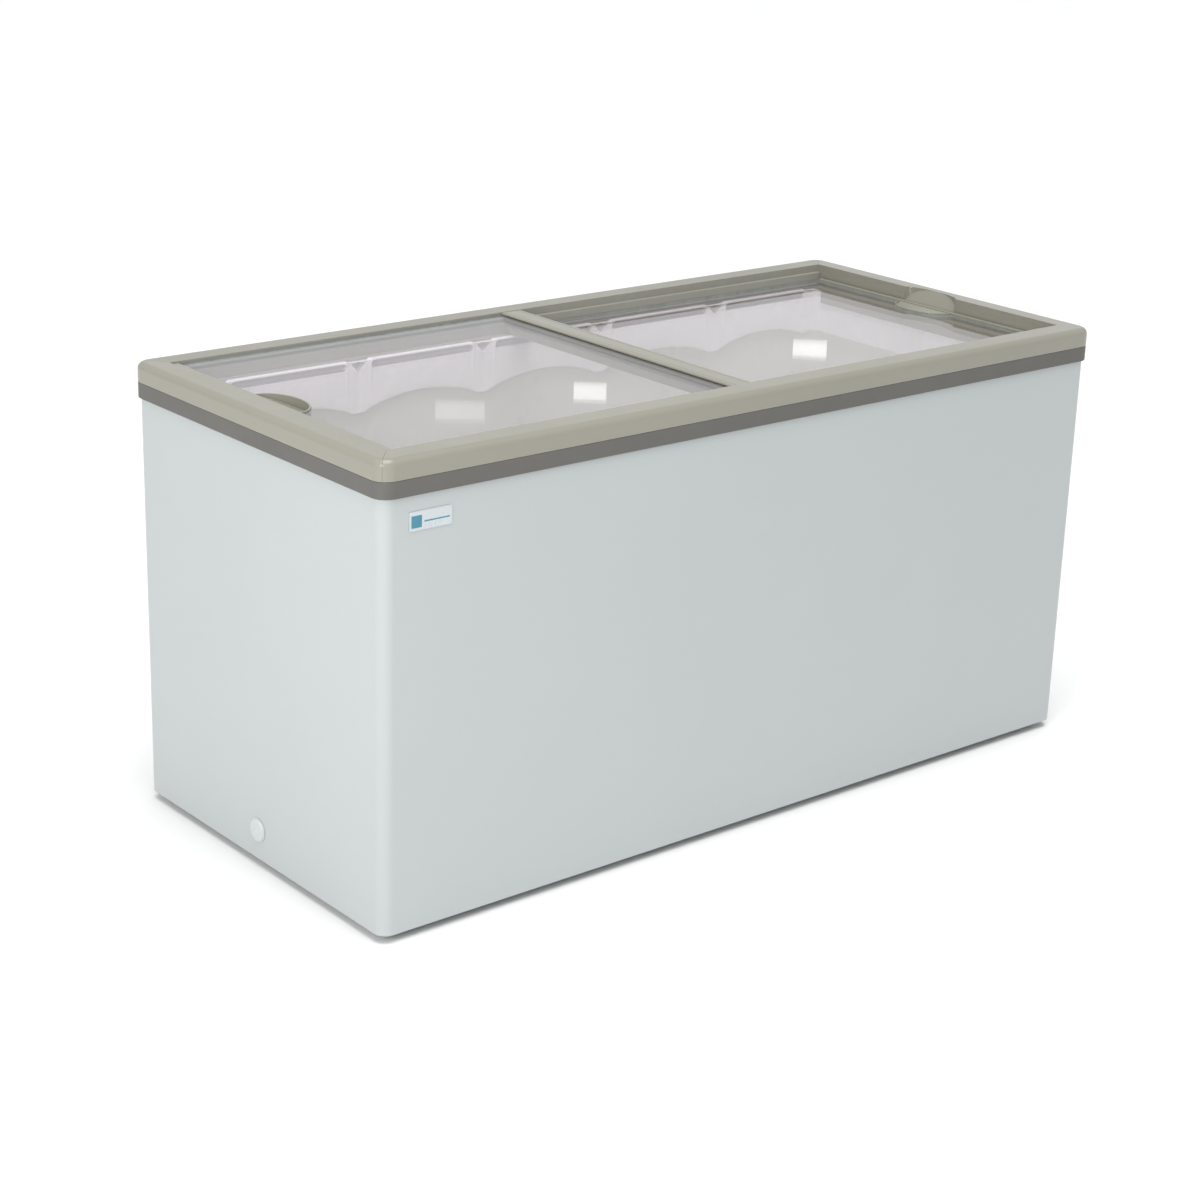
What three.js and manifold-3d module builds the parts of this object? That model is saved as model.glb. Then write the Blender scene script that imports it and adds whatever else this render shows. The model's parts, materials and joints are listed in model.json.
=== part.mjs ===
// Chest freezer with two sliding flat glass lids. Millimetres, +Z up.
// Origin: middle of the underside of the feet. +X runs along the cabinet to the machine end, -Y is the front.
import * as THREE from 'three';
import { mergeVertices } from 'three/addons/utils/BufferGeometryUtils.js';
import Module from 'manifold-3d';

const wasm = await Module();
wasm.setup();

// ---- driving dimensions ----
const CAB_L = 1500;          // cabinet length
const CAB_D = 682;           // cabinet depth
const FOOT_H = 14;           // ground clearance
const CAB_H = 680;           // cabinet side height, up to the frame
const FRAME_H = 58;          // frame height above the cabinet sides
const BAND_H = 26;           // lower dark band of the frame
const OVERHANG = 5;          // frame overhang on every side
const FRAME_R = 25;          // frame corner radius in plan
const CAB_R = 20;            // cabinet vertical corner radius
const SHEET = 1;             // sheet steel
const RAIL_X = 42;           // top width of the end rails
const RAIL_Y = 47;           // top width of the long rails
const GLASS_T = 5;           // lid glass
const UPPER_DROP = 4;        // upper glass below the frame top
const LOWER_DROP = 26;       // lower glass below the frame top
const TANK_X = 692, TANK_Y = 281;      // half sizes of the tank inside
const TANK_FLOOR = 96;       // tank floor height
const STEP_X = 396, STEP_Z = 372;      // step over the machine space
const COLLAR_X = 680, COLLAR_Y = 269;  // half sizes inside the collar
const COLLAR_LOW = 624;      // collar lower edge at the ribs
const ARCH = 24;             // rise of the collar's lower edge at each bay
const RIBS = [-374, -115, 147, 421];   // centres of the ribs between the bays
const BAY_LEFT = -646, BAY_RIGHT = 672;  // outer ends of the first and last bay, with half a rib
const GRIP_Y = 5;            // centre of the finger grips
const GRIP_A = 61, GRIP_B = 40;        // half length and depth of the half-moon grips
const LID_SPLIT_L = -13;     // right edge of the left lid's stile
const LID_SPLIT_R = -53;     // left edge of the right lid's stile
const STILE_W = 42;
const MACHINE_X = 455;       // machine space starts here
const MACHINE_TOP = 311;     // its ceiling
const DRAIN = { x: -640, y: 0, z: 64, r: 11 };
const GAP = 0.3;

const HX = CAB_L / 2, HY = CAB_D / 2;
const FX = HX + OVERHANG, FY = HY + OVERHANG;
const Z0 = FOOT_H;
const ZC = Z0 + CAB_H;               // top of the visible cabinet side
const ZB = ZC + BAND_H;              // top of the dark band
const T = ZC + FRAME_H;              // frame top

// ---- solid helpers ----
function solid(geometry) {
  let g = geometry.clone();
  for (const k of Object.keys(g.attributes)) if (k !== 'position') g.deleteAttribute(k);
  g = mergeVertices(g, 1e-4);
  const p = g.attributes.position;
  const idx = g.index ? Array.from(g.index.array) : [...Array(p.count).keys()];
  const tris = [];
  for (let i = 0; i < idx.length; i += 3) {
    const [a, b, c] = [idx[i], idx[i + 1], idx[i + 2]];
    if (a !== b && b !== c && a !== c) tris.push(a, b, c);
  }
  let v = 0;
  const q = (i) => [p.getX(i), p.getY(i), p.getZ(i)];
  for (let i = 0; i < tris.length; i += 3) {
    const [a, b, c] = [q(tris[i]), q(tris[i + 1]), q(tris[i + 2])];
    v += a[0] * (b[1] * c[2] - b[2] * c[1]) - a[1] * (b[0] * c[2] - b[2] * c[0]) + a[2] * (b[0] * c[1] - b[1] * c[0]);
  }
  if (v < 0) for (let i = 0; i < tris.length; i += 3) [tris[i + 1], tris[i + 2]] = [tris[i + 2], tris[i + 1]];
  const mesh = new wasm.Mesh({ numProp: 3, vertProperties: new Float32Array(p.array), triVerts: new Uint32Array(tris) });
  return new wasm.Manifold(mesh);
}
function toGeometry(m) {
  const mesh = m.getMesh();
  const g = new THREE.BufferGeometry();
  const n = mesh.numProp, src = mesh.vertProperties, pos = new Float32Array((src.length / n) * 3);
  for (let i = 0; i < src.length / n; i++) for (let k = 0; k < 3; k++) pos[i * 3 + k] = src[i * n + k];
  g.setAttribute('position', new THREE.BufferAttribute(pos, 3));
  g.setIndex(new THREE.BufferAttribute(new Uint32Array(mesh.triVerts), 1));
  g.computeVertexNormals();
  return g;
}
const box = (x0, x1, y0, y1, z0, z1) => {
  const g = new THREE.BoxGeometry(x1 - x0, y1 - y0, z1 - z0);
  g.translate((x0 + x1) / 2, (y0 + y1) / 2, (z0 + z1) / 2);
  return solid(g);
};
// cylinder along an axis, from a to b on that axis, centred on c (the two other coordinates in X, Y, Z order)
const cyl = (axis, r, a, b, c, seg = 16, r2 = r) => {
  const g = new THREE.CylinderGeometry(r2, r, b - a, seg);
  g.translate(0, (a + b) / 2, 0);
  if (axis === 'z') { g.rotateX(Math.PI / 2); g.translate(c[0], c[1], 0); }
  if (axis === 'x') { g.rotateZ(-Math.PI / 2); g.translate(0, c[0], c[1]); }
  if (axis === 'y') g.translate(c[0], 0, c[1]);
  return solid(g);
};
const shape = (pts) => new THREE.Shape(pts.map(([a, b]) => new THREE.Vector2(a, b)));
const extrudeZ = (s, z0, z1, seg = 5) => {
  const g = new THREE.ExtrudeGeometry(s, { depth: z1 - z0, bevelEnabled: false, curveSegments: seg });
  g.translate(0, 0, z0);
  return solid(g);
};
// a shape drawn in X and Z, extruded along Y
const extrudeY = (s, y0, y1, seg = 5) => {
  const g = new THREE.ExtrudeGeometry(s, { depth: y1 - y0, bevelEnabled: false, curveSegments: seg });
  g.rotateX(Math.PI / 2);
  g.translate(0, y1, 0);
  return solid(g);
};
// a shape drawn in Y and Z, extruded along X
const extrudeX = (s, x0, x1, seg = 5) => {
  const g = new THREE.ExtrudeGeometry(s, { depth: x1 - x0, bevelEnabled: false, curveSegments: seg });
  g.rotateX(Math.PI / 2);
  g.rotateZ(Math.PI / 2);
  g.translate(x0, 0, 0);
  return solid(g);
};
function roundRect(x0, x1, y0, y1, r, seg = 5) {
  const pts = [];
  const arc = (cx, cy, a0) => {
    for (let i = 0; i <= seg; i++) {
      const a = a0 + (Math.PI / 2) * (i / seg);
      pts.push([cx + r * Math.cos(a), cy + r * Math.sin(a)]);
    }
  };
  arc(x1 - r, y1 - r, 0);
  arc(x0 + r, y1 - r, Math.PI / 2);
  arc(x0 + r, y0 + r, Math.PI);
  arc(x1 - r, y0 + r, Math.PI * 1.5);
  return shape(pts);
}
const halfEllipse = (cx, cy, a, b, dir, seg = 14) => {
  const pts = [];
  for (let i = 0; i <= seg; i++) {
    const t = -Math.PI / 2 + (Math.PI * i) / seg;
    pts.push([cx + dir * b * Math.cos(t), cy + a * Math.sin(t)]);
  }
  return shape(pts);
};
// a closed profile of [inset along X, inset along Y, height] carried round a rounded rectangle
function ring(profile, hx, hy, r, seg = 5) {
  const stations = [];
  for (const [sx, sy, rev] of [[1, 1, 0], [-1, 1, 1], [-1, -1, 0], [1, -1, 1]]) {
    for (let i = 0; i <= seg; i++) {
      const a = (Math.PI / 2) * ((rev ? seg - i : i) / seg);
      stations.push(profile.map(([ux, uy, z]) => {
        const px = Math.max(r - ux, 1.5), py = Math.max(r - uy, 1.5);
        return [sx * (hx - ux - px + px * Math.cos(a)), sy * (hy - uy - py + py * Math.sin(a)), z];
      }));
    }
  }
  const n = profile.length, pos = [], idx = [];
  for (const s of stations) for (const p of s) pos.push(...p);
  for (let i = 0; i < stations.length; i++) {
    const j = (i + 1) % stations.length;
    for (let k = 0; k < n; k++) {
      const l = (k + 1) % n;
      idx.push(i * n + k, j * n + k, j * n + l, i * n + k, j * n + l, i * n + l);
    }
  }
  const g = new THREE.BufferGeometry();
  g.setAttribute('position', new THREE.BufferAttribute(new Float32Array(pos), 3));
  g.setIndex(idx);
  return solid(g);
}
// round the corners of a polyline
function roundPath(pts, r, seg = 4) {
  const v = pts.map((p) => new THREE.Vector3(...p));
  const out = [v[0]];
  for (let i = 1; i < v.length - 1; i++) {
    const a = v[i - 1].clone().sub(v[i]), b = v[i + 1].clone().sub(v[i]);
    const d = Math.min(r, a.length() * 0.49, b.length() * 0.49);
    a.normalize(); b.normalize();
    const p = v[i].clone().addScaledVector(a, d), q = v[i].clone().addScaledVector(b, d);
    const curve = new THREE.QuadraticBezierCurve3(p, v[i], q);
    out.push(...curve.getPoints(seg));
  }
  out.push(v[v.length - 1]);
  return out;
}
// a solid round rod along a polyline
function rod(path, r, sides = 6) {
  const n = path.length, pos = [], idx = [];
  let tangent = path[1].clone().sub(path[0]).normalize();
  let normal = Math.abs(tangent.z) < 0.9 ? new THREE.Vector3(0, 0, 1) : new THREE.Vector3(1, 0, 0);
  for (let i = 0; i < n; i++) {
    const t0 = i > 0 ? path[i].clone().sub(path[i - 1]).normalize() : path[1].clone().sub(path[0]).normalize();
    const t1 = i < n - 1 ? path[i + 1].clone().sub(path[i]).normalize() : t0;
    const t = t0.clone().add(t1).normalize();
    normal.addScaledVector(t, -normal.dot(t)).normalize();
    const bin = new THREE.Vector3().crossVectors(t, normal);
    const stretch = 1 / Math.max(0.5, t.dot(t0));
    const side = new THREE.Vector3().crossVectors(t0, t1);
    for (let k = 0; k < sides; k++) {
      const a = (2 * Math.PI * k) / sides;
      const o = normal.clone().multiplyScalar(r * Math.cos(a)).addScaledVector(bin, r * Math.sin(a));
      if (side.length() > 1e-6) {
        const m = new THREE.Vector3().crossVectors(side.clone().normalize(), t);
        o.addScaledVector(m, o.dot(m) * (stretch - 1));
      }
      pos.push(path[i].x + o.x, path[i].y + o.y, path[i].z + o.z);
    }
  }
  for (let i = 0; i < n - 1; i++) for (let k = 0; k < sides; k++) {
    const l = (k + 1) % sides;
    idx.push(i * sides + k, i * sides + l, (i + 1) * sides + l, i * sides + k, (i + 1) * sides + l, (i + 1) * sides + k);
  }
  for (let k = 1; k < sides - 1; k++) {
    idx.push(0, k + 1, k);
    const e = (n - 1) * sides;
    idx.push(e, e + k, e + k + 1);
  }
  const g = new THREE.BufferGeometry();
  g.setAttribute('position', new THREE.BufferAttribute(new Float32Array(pos), 3));
  g.setIndex(idx);
  return solid(g);
}
const union = (...m) => m.reduce((a, b) => a.add(b));

const root = new THREE.Group();
const colours = {
  white_steel: [0xd9dfdf, 0.4, 0.1], frame: [0xa8a59c, 0.5, 0], band: [0x797977, 0.55, 0], glass: [0xdfe9e8, 0.05, 0],
  collar: [0xe8e6ea, 0.3, 0], tank: [0xc7c5c6, 0.35, 0.5], foam: [0xf0e6b8, 0.9, 0], galvanised: [0xa9acad, 0.45, 0.8],
  black: [0x1d1e20, 0.5, 0], rubber: [0x2a2a2a, 0.9, 0], copper: [0xb87345, 0.3, 0.9], white_plastic: [0xe9ebeb, 0.35, 0],
  grey_plastic: [0x8d9092, 0.5, 0], alu: [0xb8babc, 0.35, 0.9], badge: [0xcfd6d9, 0.3, 0.2], seal: [0x55585a, 0.8, 0],
  lens: [0x2f9c4a, 0.2, 0], knob: [0x2b2d30, 0.45, 0],
};
function add(name, m, key) {
  const [color, roughness, metalness] = colours[key];
  const mat = new THREE.MeshStandardMaterial({ color, roughness, metalness });
  if (key === 'glass') { mat.transparent = true; mat.opacity = 0.35; }
  const mesh = new THREE.Mesh(toGeometry(m), mat);
  mesh.name = name;
  root.add(mesh);
}

// ---- outer casing ----
const wrapTop = ZC + 18;
{
  // front and sides in one sheet, returned round the rear corners, with a folded hem along the bottom
  let wrap = ring([[0, 0, Z0], [0, 0, wrapTop], [SHEET, SHEET, wrapTop], [SHEET, SHEET, Z0 + SHEET], [14, 14, Z0 + SHEET], [14, 14, Z0]], HX, HY, CAB_R, 6);
  wrap = wrap.subtract(box(-HX + 35, HX - 35, HY - 8, HY + 8, Z0 + 2, 800));
  wrap = wrap.subtract(cyl('x', DRAIN.r + 0.6, -HX - 5, -HX + 5, [DRAIN.y, DRAIN.z], 20));
  wrap = wrap.subtract(box(HX - 5, HX + 5, -235, 235, 55, 285));
  add('cabinet_wrap', wrap, 'white_steel');
}
{
  let rear = box(-728, 728, HY - 2.3, HY - 1.3, Z0 + 2.6, wrapTop - 0.1);
  rear = rear.subtract(box(505, 695, HY - 8, HY + 8, 60, 280));
  rear = rear.subtract(cyl('y', 9.3, HY - 10, HY + 10, [474, 80], 16));
  add('rear_panel', rear, 'white_steel');
}
const FEET = [[-690, -282, 'front_left'], [690, -282, 'front_right'], [-690, 282, 'rear_left'], [690, 282, 'rear_right']];
{
  let pan = extrudeZ(roundRect(-HX + 1.4, HX - 1.4, -HY + 1.6, HY - 1.6, CAB_R - 1.4), Z0 + 1.3, Z0 + 2.3);
  for (const [x, y] of FEET) pan = pan.subtract(cyl('z', 6.4, 0, 40, [x, y], 12));
  for (let i = 0; i < 7; i++) pan = pan.subtract(box(520 + i * 26, 530 + i * 26, -150, 10, 0, 40));
  add('base_pan', pan, 'galvanised');
  for (const [x, y, name] of FEET) {
    const pad = cyl('z', 21, 0, 4, [x, y], 20).add(cyl('z', 21, 4, 8.5, [x, y], 20, 11));
    const nut = cyl('z', 10.5, 8, 14.9, [x, y], 6);
    const stem = cyl('z', 6, 6, 27, [x, y], 12);
    add(`foot_${name}`, union(pad, nut, stem), 'black');
  }
}

// ---- insulation, tank and collar ----
const insideWall = (z0, z1) => extrudeZ(roundRect(-HX + 1.4, HX - 1.4, -HY + 1.4, HY - 2.6, CAB_R - 1.2), z0, z1);
{
  let foam = insideWall(Z0 + 2.6, wrapTop - 0.1);
  foam = foam.subtract(box(-703, STEP_X + 11, -292.3, 292.3, TANK_FLOOR - 1.3, 800));
  foam = foam.subtract(box(STEP_X, 703, -292.3, 292.3, STEP_Z - 1.3, 800));
  foam = foam.subtract(box(MACHINE_X - 0.9, 800, -400, 400, 0, MACHINE_TOP + 1.6));
  for (const [x, y] of FEET) foam = foam.subtract(cyl('z', 9, 0, 32, [x, y], 10));
  foam = foam.subtract(cyl('x', DRAIN.r + 0.4, -800, DRAIN.x, [DRAIN.y, DRAIN.z], 16));
  foam = foam.subtract(cyl('z', DRAIN.r + 0.4, DRAIN.z - DRAIN.r - 0.4, 120, [DRAIN.x, DRAIN.y], 16));
  foam = foam.subtract(cyl('z', 5, 290, 400, [620, 287.5], 8));
  add('insulation_foam', foam, 'foam');
}
{
  const R = 40;
  const outer = extrudeZ(roundRect(-TANK_X - 1, TANK_X + 1, -TANK_Y - 1, TANK_Y + 1, R + 1), STEP_Z - 1, 709.8)
    .add(extrudeZ(roundRect(-TANK_X - 1, STEP_X + 1, -TANK_Y - 1, TANK_Y + 1, R + 1), TANK_FLOOR - 1, STEP_Z + 20));
  const inner = extrudeZ(roundRect(-TANK_X, TANK_X, -TANK_Y, TANK_Y, R), STEP_Z, 800)
    .add(extrudeZ(roundRect(-TANK_X, STEP_X, -TANK_Y, TANK_Y, R), TANK_FLOOR, STEP_Z + 21));
  let tank = outer.subtract(inner);
  tank = tank.subtract(cyl('z', DRAIN.r + 0.4, 60, 130, [DRAIN.x, DRAIN.y], 16));
  add('tank_liner', tank, 'tank');
}
{
  const R = 14;
  const zTop = 713.4;
  let body = extrudeZ(roundRect(-TANK_X + 0.4, TANK_X - 0.4, -TANK_Y + 0.3, TANK_Y - 0.3, 39.6), COLLAR_LOW, zTop)
    .subtract(extrudeZ(roundRect(-COLLAR_X, COLLAR_X, -COLLAR_Y, COLLAR_Y, R), 0, 900));
  const flange = extrudeZ(roundRect(-702.6, 702.6, -291.7, 291.7, 45), 710.4, zTop)
    .subtract(extrudeZ(roundRect(-COLLAR_X, COLLAR_X, -COLLAR_Y, COLLAR_Y, R), 0, 900));
  body = body.add(flange);
  const edges = [BAY_LEFT, ...RIBS, BAY_RIGHT];
  for (const side of [-1, 1]) {
    const y0 = side < 0 ? -300 : COLLAR_Y - 6, y1 = side < 0 ? -COLLAR_Y + 6 : 300;
    for (let i = 0; i < edges.length - 1; i++) {
      const a = edges[i] + 22, b = edges[i + 1] - 22;
      // lip that stands in front of the frame's lower ledge
      const lip = side < 0 ? [-COLLAR_Y - 7.6, -COLLAR_Y] : [COLLAR_Y, COLLAR_Y + 7.6];
      body = body.add(box(a - 3, b + 3, lip[0], lip[1], 712, 716.4));
      // arched lower edge
      const pts = [[a - 8, COLLAR_LOW - 5]];
      for (let k = 0; k <= 8; k++) {
        const t = k / 8;
        pts.push([a - 8 + (b - a + 16) * t, COLLAR_LOW + ARCH * Math.sin(Math.PI * t) ** 0.7]);
      }
      pts.push([b + 8, COLLAR_LOW - 5]);
      body = body.subtract(extrudeY(shape(pts), y0, y1));
      // long recess with round ends under the lip
      const c = side < 0 ? [-COLLAR_Y - 8, -COLLAR_Y + 10] : [COLLAR_Y - 10, COLLAR_Y + 8];
      body = body.subtract(extrudeY(roundRect(a + 2, b - 2, 700, 711.6, 5.6, 4), c[0], c[1]));
    }
    // notch at the top of each rib, between the lips
    for (const x of RIBS) {
      const d = side * COLLAR_Y;
      body = body.subtract(extrudeZ(shape([[x - 13, d - side * 0.5], [x, d + side * 7], [x + 13, d - side * 0.5], [x, d - side * 9]]), 698, 730));
    }
  }
  add('liner_collar', body, 'collar');
}
{
  const X = 698.2, Y = 287.2;
  const pts = [[620, 287.5, 300], [620, 287.5, 392]];
  let z = 400;
  for (let i = 0; i < 5; i++) {
    pts.push([i ? 600 : 600, Y, z], [-X, Y, z], [-X, -Y, z], [X, -Y, z], [X, Y, z]);
    if (i < 4) pts.push([665, Y, z + 8], [640, Y, z + 48]);
    z += 56;
  }
  pts.push([560, Y, z - 56]);
  add('evaporator_tube', rod(roundPath(pts, 16, 2), 4, 6), 'copper');
}

// ---- top frame ----
const arcPts = [];
for (let i = 1; i <= 4; i++) {
  const a = (Math.PI / 2) * (i / 5);
  arcPts.push([12 - 12 * Math.cos(a), 12 - 12 * Math.cos(a), T - 12 + 12 * Math.sin(a)]);
}
const upperLedge = T - 13.3, lowerLedge = T - 35.3;
const railRing = ring([
  [0, 0, ZB + GAP], [0, 0, T - 12], ...arcPts, [12, 12, T], [RAIL_X, RAIL_Y, T], [RAIL_X, RAIL_Y, upperLedge],
  [RAIL_X + 1, RAIL_Y + 10, upperLedge], [RAIL_X + 1, RAIL_Y + 10, lowerLedge], [75, 69, lowerLedge], [75, 69, lowerLedge - 3],
  [RAIL_X - 2, RAIL_Y + 7, lowerLedge - 3], [RAIL_X - 2, RAIL_Y + 7, upperLedge - 3], [RAIL_X - 3, RAIL_Y - 3, upperLedge - 3],
  [RAIL_X - 3, RAIL_Y - 3, T - 3], [12, 12, T - 3], [3, 3, T - 12], [3, 3, ZB + GAP],
], FX, FY, FRAME_R);
{
  // each rail is cut from the ring along the mitres
  const inX = FX - RAIL_X, inY = FY - RAIL_Y, dx = RAIL_X, dy = RAIL_Y;
  const out = [FX + dx, FY + dy], deep = [inX - 2 * dx, inY - 2 * dy];
  const longCut = (s) => extrudeZ(shape([[-out[0], s * (out[1] + 0.2)], [-deep[0], s * (deep[1] + 0.2)], [deep[0], s * (deep[1] + 0.2)], [out[0], s * (out[1] + 0.2)]]), 600, 900);
  const endCut = (s) => extrudeZ(shape([[s * (out[0] + 0.2), -out[1]], [s * (deep[0] + 0.2), -deep[1]], [s * (deep[0] + 0.2), deep[1]], [s * (out[0] + 0.2), out[1]]]), 600, 900);
  add('frame_front_rail', railRing.intersect(longCut(-1)), 'frame');
  add('frame_rear_rail', railRing.intersect(longCut(1)), 'frame');
  // a skirt hangs from each end rail's ledge over the top of the collar
  const skirt = (s) => extrudeY(shape([[s * 676.3, lowerLedge], [s * 681, lowerLedge], [s * 681, lowerLedge - 3], [s * 679.6, lowerLedge - 3], [s * 679.6, 690], [s * 676.3, 690]]), -252, 252);
  add('frame_left_rail', railRing.intersect(endCut(-1)).add(skirt(-1)), 'frame');
  // finger notch beside the lower lid's grip
  const block = extrudeZ(halfEllipse(inX + 1, GRIP_Y, 68, 24, 1), T - 30, T - 2);
  const ramp = extrudeY(shape([[inX - 10, T - 24], [inX, T - 24], [inX + 17, T + 1], [inX + 17, T + 20], [inX - 10, T + 20]]), -100, 120);
  const notch = extrudeZ(halfEllipse(inX - 0.5, GRIP_Y, 62, 17, 1), T - 40, T + 20).add(box(inX - 8, inX, GRIP_Y - 62, GRIP_Y + 62, T - 40, T + 20)).intersect(ramp);
  add('frame_right_rail', railRing.intersect(endCut(1)).add(skirt(1)).add(block).subtract(notch), 'frame');
}
add('frame_lower_band', ring([
  [0, 0, ZC], [0, 0, ZB], [39.5, 53.5, ZB], [39.5, 53.5, wrapTop + GAP], [4.7, 4.7, wrapTop + GAP], [4.7, 4.7, ZC],
], FX, FY, FRAME_R), 'band');

// ---- lids ----
const lidEnd = FX - RAIL_X - 3.5;        // outer end of each lid
const strip = 9.5;                       // width of the end strip
const chord = lidEnd - strip;            // straight side of the grip
function lid(side, zTop, trackY, stileX, names, zGripTop, zGripLow, cupFloor, stileTop, stileLow, glideLow) {
  const s = side;                        // -1 left, +1 right
  const g0 = chord - GAP;                // glass end at the grip
  const cupOuter = extrudeZ(halfEllipse(s * chord, GRIP_Y, GRIP_A + 3, GRIP_B + 3, -s), zGripLow, zGripTop);
  const cut = extrudeZ(halfEllipse(s * chord, GRIP_Y, GRIP_A + 3 + GAP, GRIP_B + 3 + GAP, -s), zGripLow - 5, zGripTop + 5);
  const stileIn = stileX.inner, stileOut = stileX.outer;
  const gx = [s * g0, stileX.glass].sort((a, b) => a - b);
  add(names.glass, box(gx[0], gx[1], -trackY + 1, trackY - 1, zTop - GLASS_T, zTop).subtract(cut), 'glass');
  const sx = [s * chord, s * lidEnd].sort((a, b) => a - b);
  const bar = extrudeX(roundRect(-trackY + 1, trackY - 1, zTop - GLASS_T - 3.4, zGripTop, 3, 3), sx[0], sx[1]);
  const rampPts = [[s * chord, zGripTop - 1.5], [s * (chord - GRIP_B), cupFloor], [s * (chord - GRIP_B - 5), cupFloor], [s * (chord - GRIP_B - 5), zGripTop + 20], [s * chord, zGripTop + 20]];
  const pocket = extrudeZ(halfEllipse(s * chord, GRIP_Y, GRIP_A, GRIP_B, -s), zGripLow - 5, zGripTop + 20)
    .intersect(extrudeY(shape(rampPts), -200, 200));
  add(names.grip, bar.add(cupOuter).subtract(pocket), 'frame');
  const st = [stileIn, stileOut].sort((a, b) => a - b);
  let stile = extrudeY(roundRect(st[0], st[1], stileLow, stileTop, 2.5, 3), -trackY + 1, trackY - 1);
  const slotEnd = stileX.glass - s * GAP;
  const slot = [slotEnd, stileIn + s * 5].sort((a, b) => a - b);
  stile = stile.subtract(box(slot[0], slot[1], -trackY - 5, trackY + 5, zTop - GLASS_T - GAP, zTop + GAP));
  add(names.stile, stile, 'frame');
  const a = [s * (chord - 0.6), stileIn + s * 0.6].sort((p, q) => p - q);
  for (const [k, n] of [[-1, names.front], [1, names.rear]]) {
    const y = [k * (trackY - 1.2), k * (trackY - 9)].sort((p, q) => p - q);
    add(n, box(a[0], a[1], y[0], y[1], glideLow, zTop - GLASS_T - GAP), 'grey_plastic');
  }
}
lid(-1, T - UPPER_DROP, FY - RAIL_Y, { inner: LID_SPLIT_L - STILE_W, outer: LID_SPLIT_L, glass: LID_SPLIT_L - 4 },
  { glass: 'left_lid_glass', grip: 'left_lid_grip', stile: 'left_lid_stile', front: 'left_lid_front_glide', rear: 'left_lid_rear_glide' },
  T - 2, T - 18.5, T - 16.5, T - 0.5, T - 13, T - 13);
lid(1, T - LOWER_DROP, FY - RAIL_Y - 10, { inner: LID_SPLIT_R + STILE_W, outer: LID_SPLIT_R, glass: LID_SPLIT_R + 4 },
  { glass: 'right_lid_glass', grip: 'right_lid_grip', stile: 'right_lid_stile', front: 'right_lid_front_glide', rear: 'right_lid_rear_glide' },
  T - 24, T - 35, T - 33, T - 21.5, T - 35, T - 35);
add('lid_brush_seal', box(-47, -41, -284, 284, T - 19.2, T - 13.3), 'seal');
for (const [s, z, name] of [[-1, T - 8, 'left_end_buffer'], [1, T - 29, 'right_end_buffer']]) {
  const x = [s * (lidEnd + 0.4), s * (FX - RAIL_X - (s > 0 ? 1 : 0) - GAP)].sort((a, b) => a - b);
  add(name, box(x[0], x[1], -200, 200, z - 4, z + 4), 'rubber');
}

// ---- drain ----
{
  const r = DRAIN.r, ri = r - 2.5;
  const outer = union(cyl('x', r, -HX + 0.2, DRAIN.x, [DRAIN.y, DRAIN.z], 16), cyl('z', r, DRAIN.z, TANK_FLOOR - 0.2, [DRAIN.x, DRAIN.y], 16), solid(new THREE.SphereGeometry(r, 16, 10).translate(DRAIN.x, DRAIN.y, DRAIN.z)));
  const inner = union(cyl('x', ri, -HX - 20, DRAIN.x, [DRAIN.y, DRAIN.z], 16), cyl('z', ri, DRAIN.z, TANK_FLOOR + 20, [DRAIN.x, DRAIN.y], 16), solid(new THREE.SphereGeometry(ri, 16, 10).translate(DRAIN.x, DRAIN.y, DRAIN.z)));
  add('drain_tube', outer.subtract(inner), 'white_plastic');
  const plug = union(cyl('z', ri - 0.4, TANK_FLOOR - 14, TANK_FLOOR + 1, [DRAIN.x, DRAIN.y], 16), cyl('z', 19, TANK_FLOOR + GAP, TANK_FLOOR + 3.3, [DRAIN.x, DRAIN.y], 20, 17),
    box(DRAIN.x - 2.5, DRAIN.x + 2.5, DRAIN.y - 10, DRAIN.y + 10, TANK_FLOOR + 2, TANK_FLOOR + 12));
  add('drain_plug', plug, 'rubber');
  const cap = union(cyl('x', 18, -HX - 4.6, -HX - 1.6, [DRAIN.y, DRAIN.z], 24, 20), cyl('x', 20, -HX - 1.7, -HX - GAP, [DRAIN.y, DRAIN.z], 24), cyl('x', ri - 0.4, -HX - 1, -HX + 16, [DRAIN.y, DRAIN.z], 16));
  add('drain_cap', cap, 'white_plastic');
}

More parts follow.
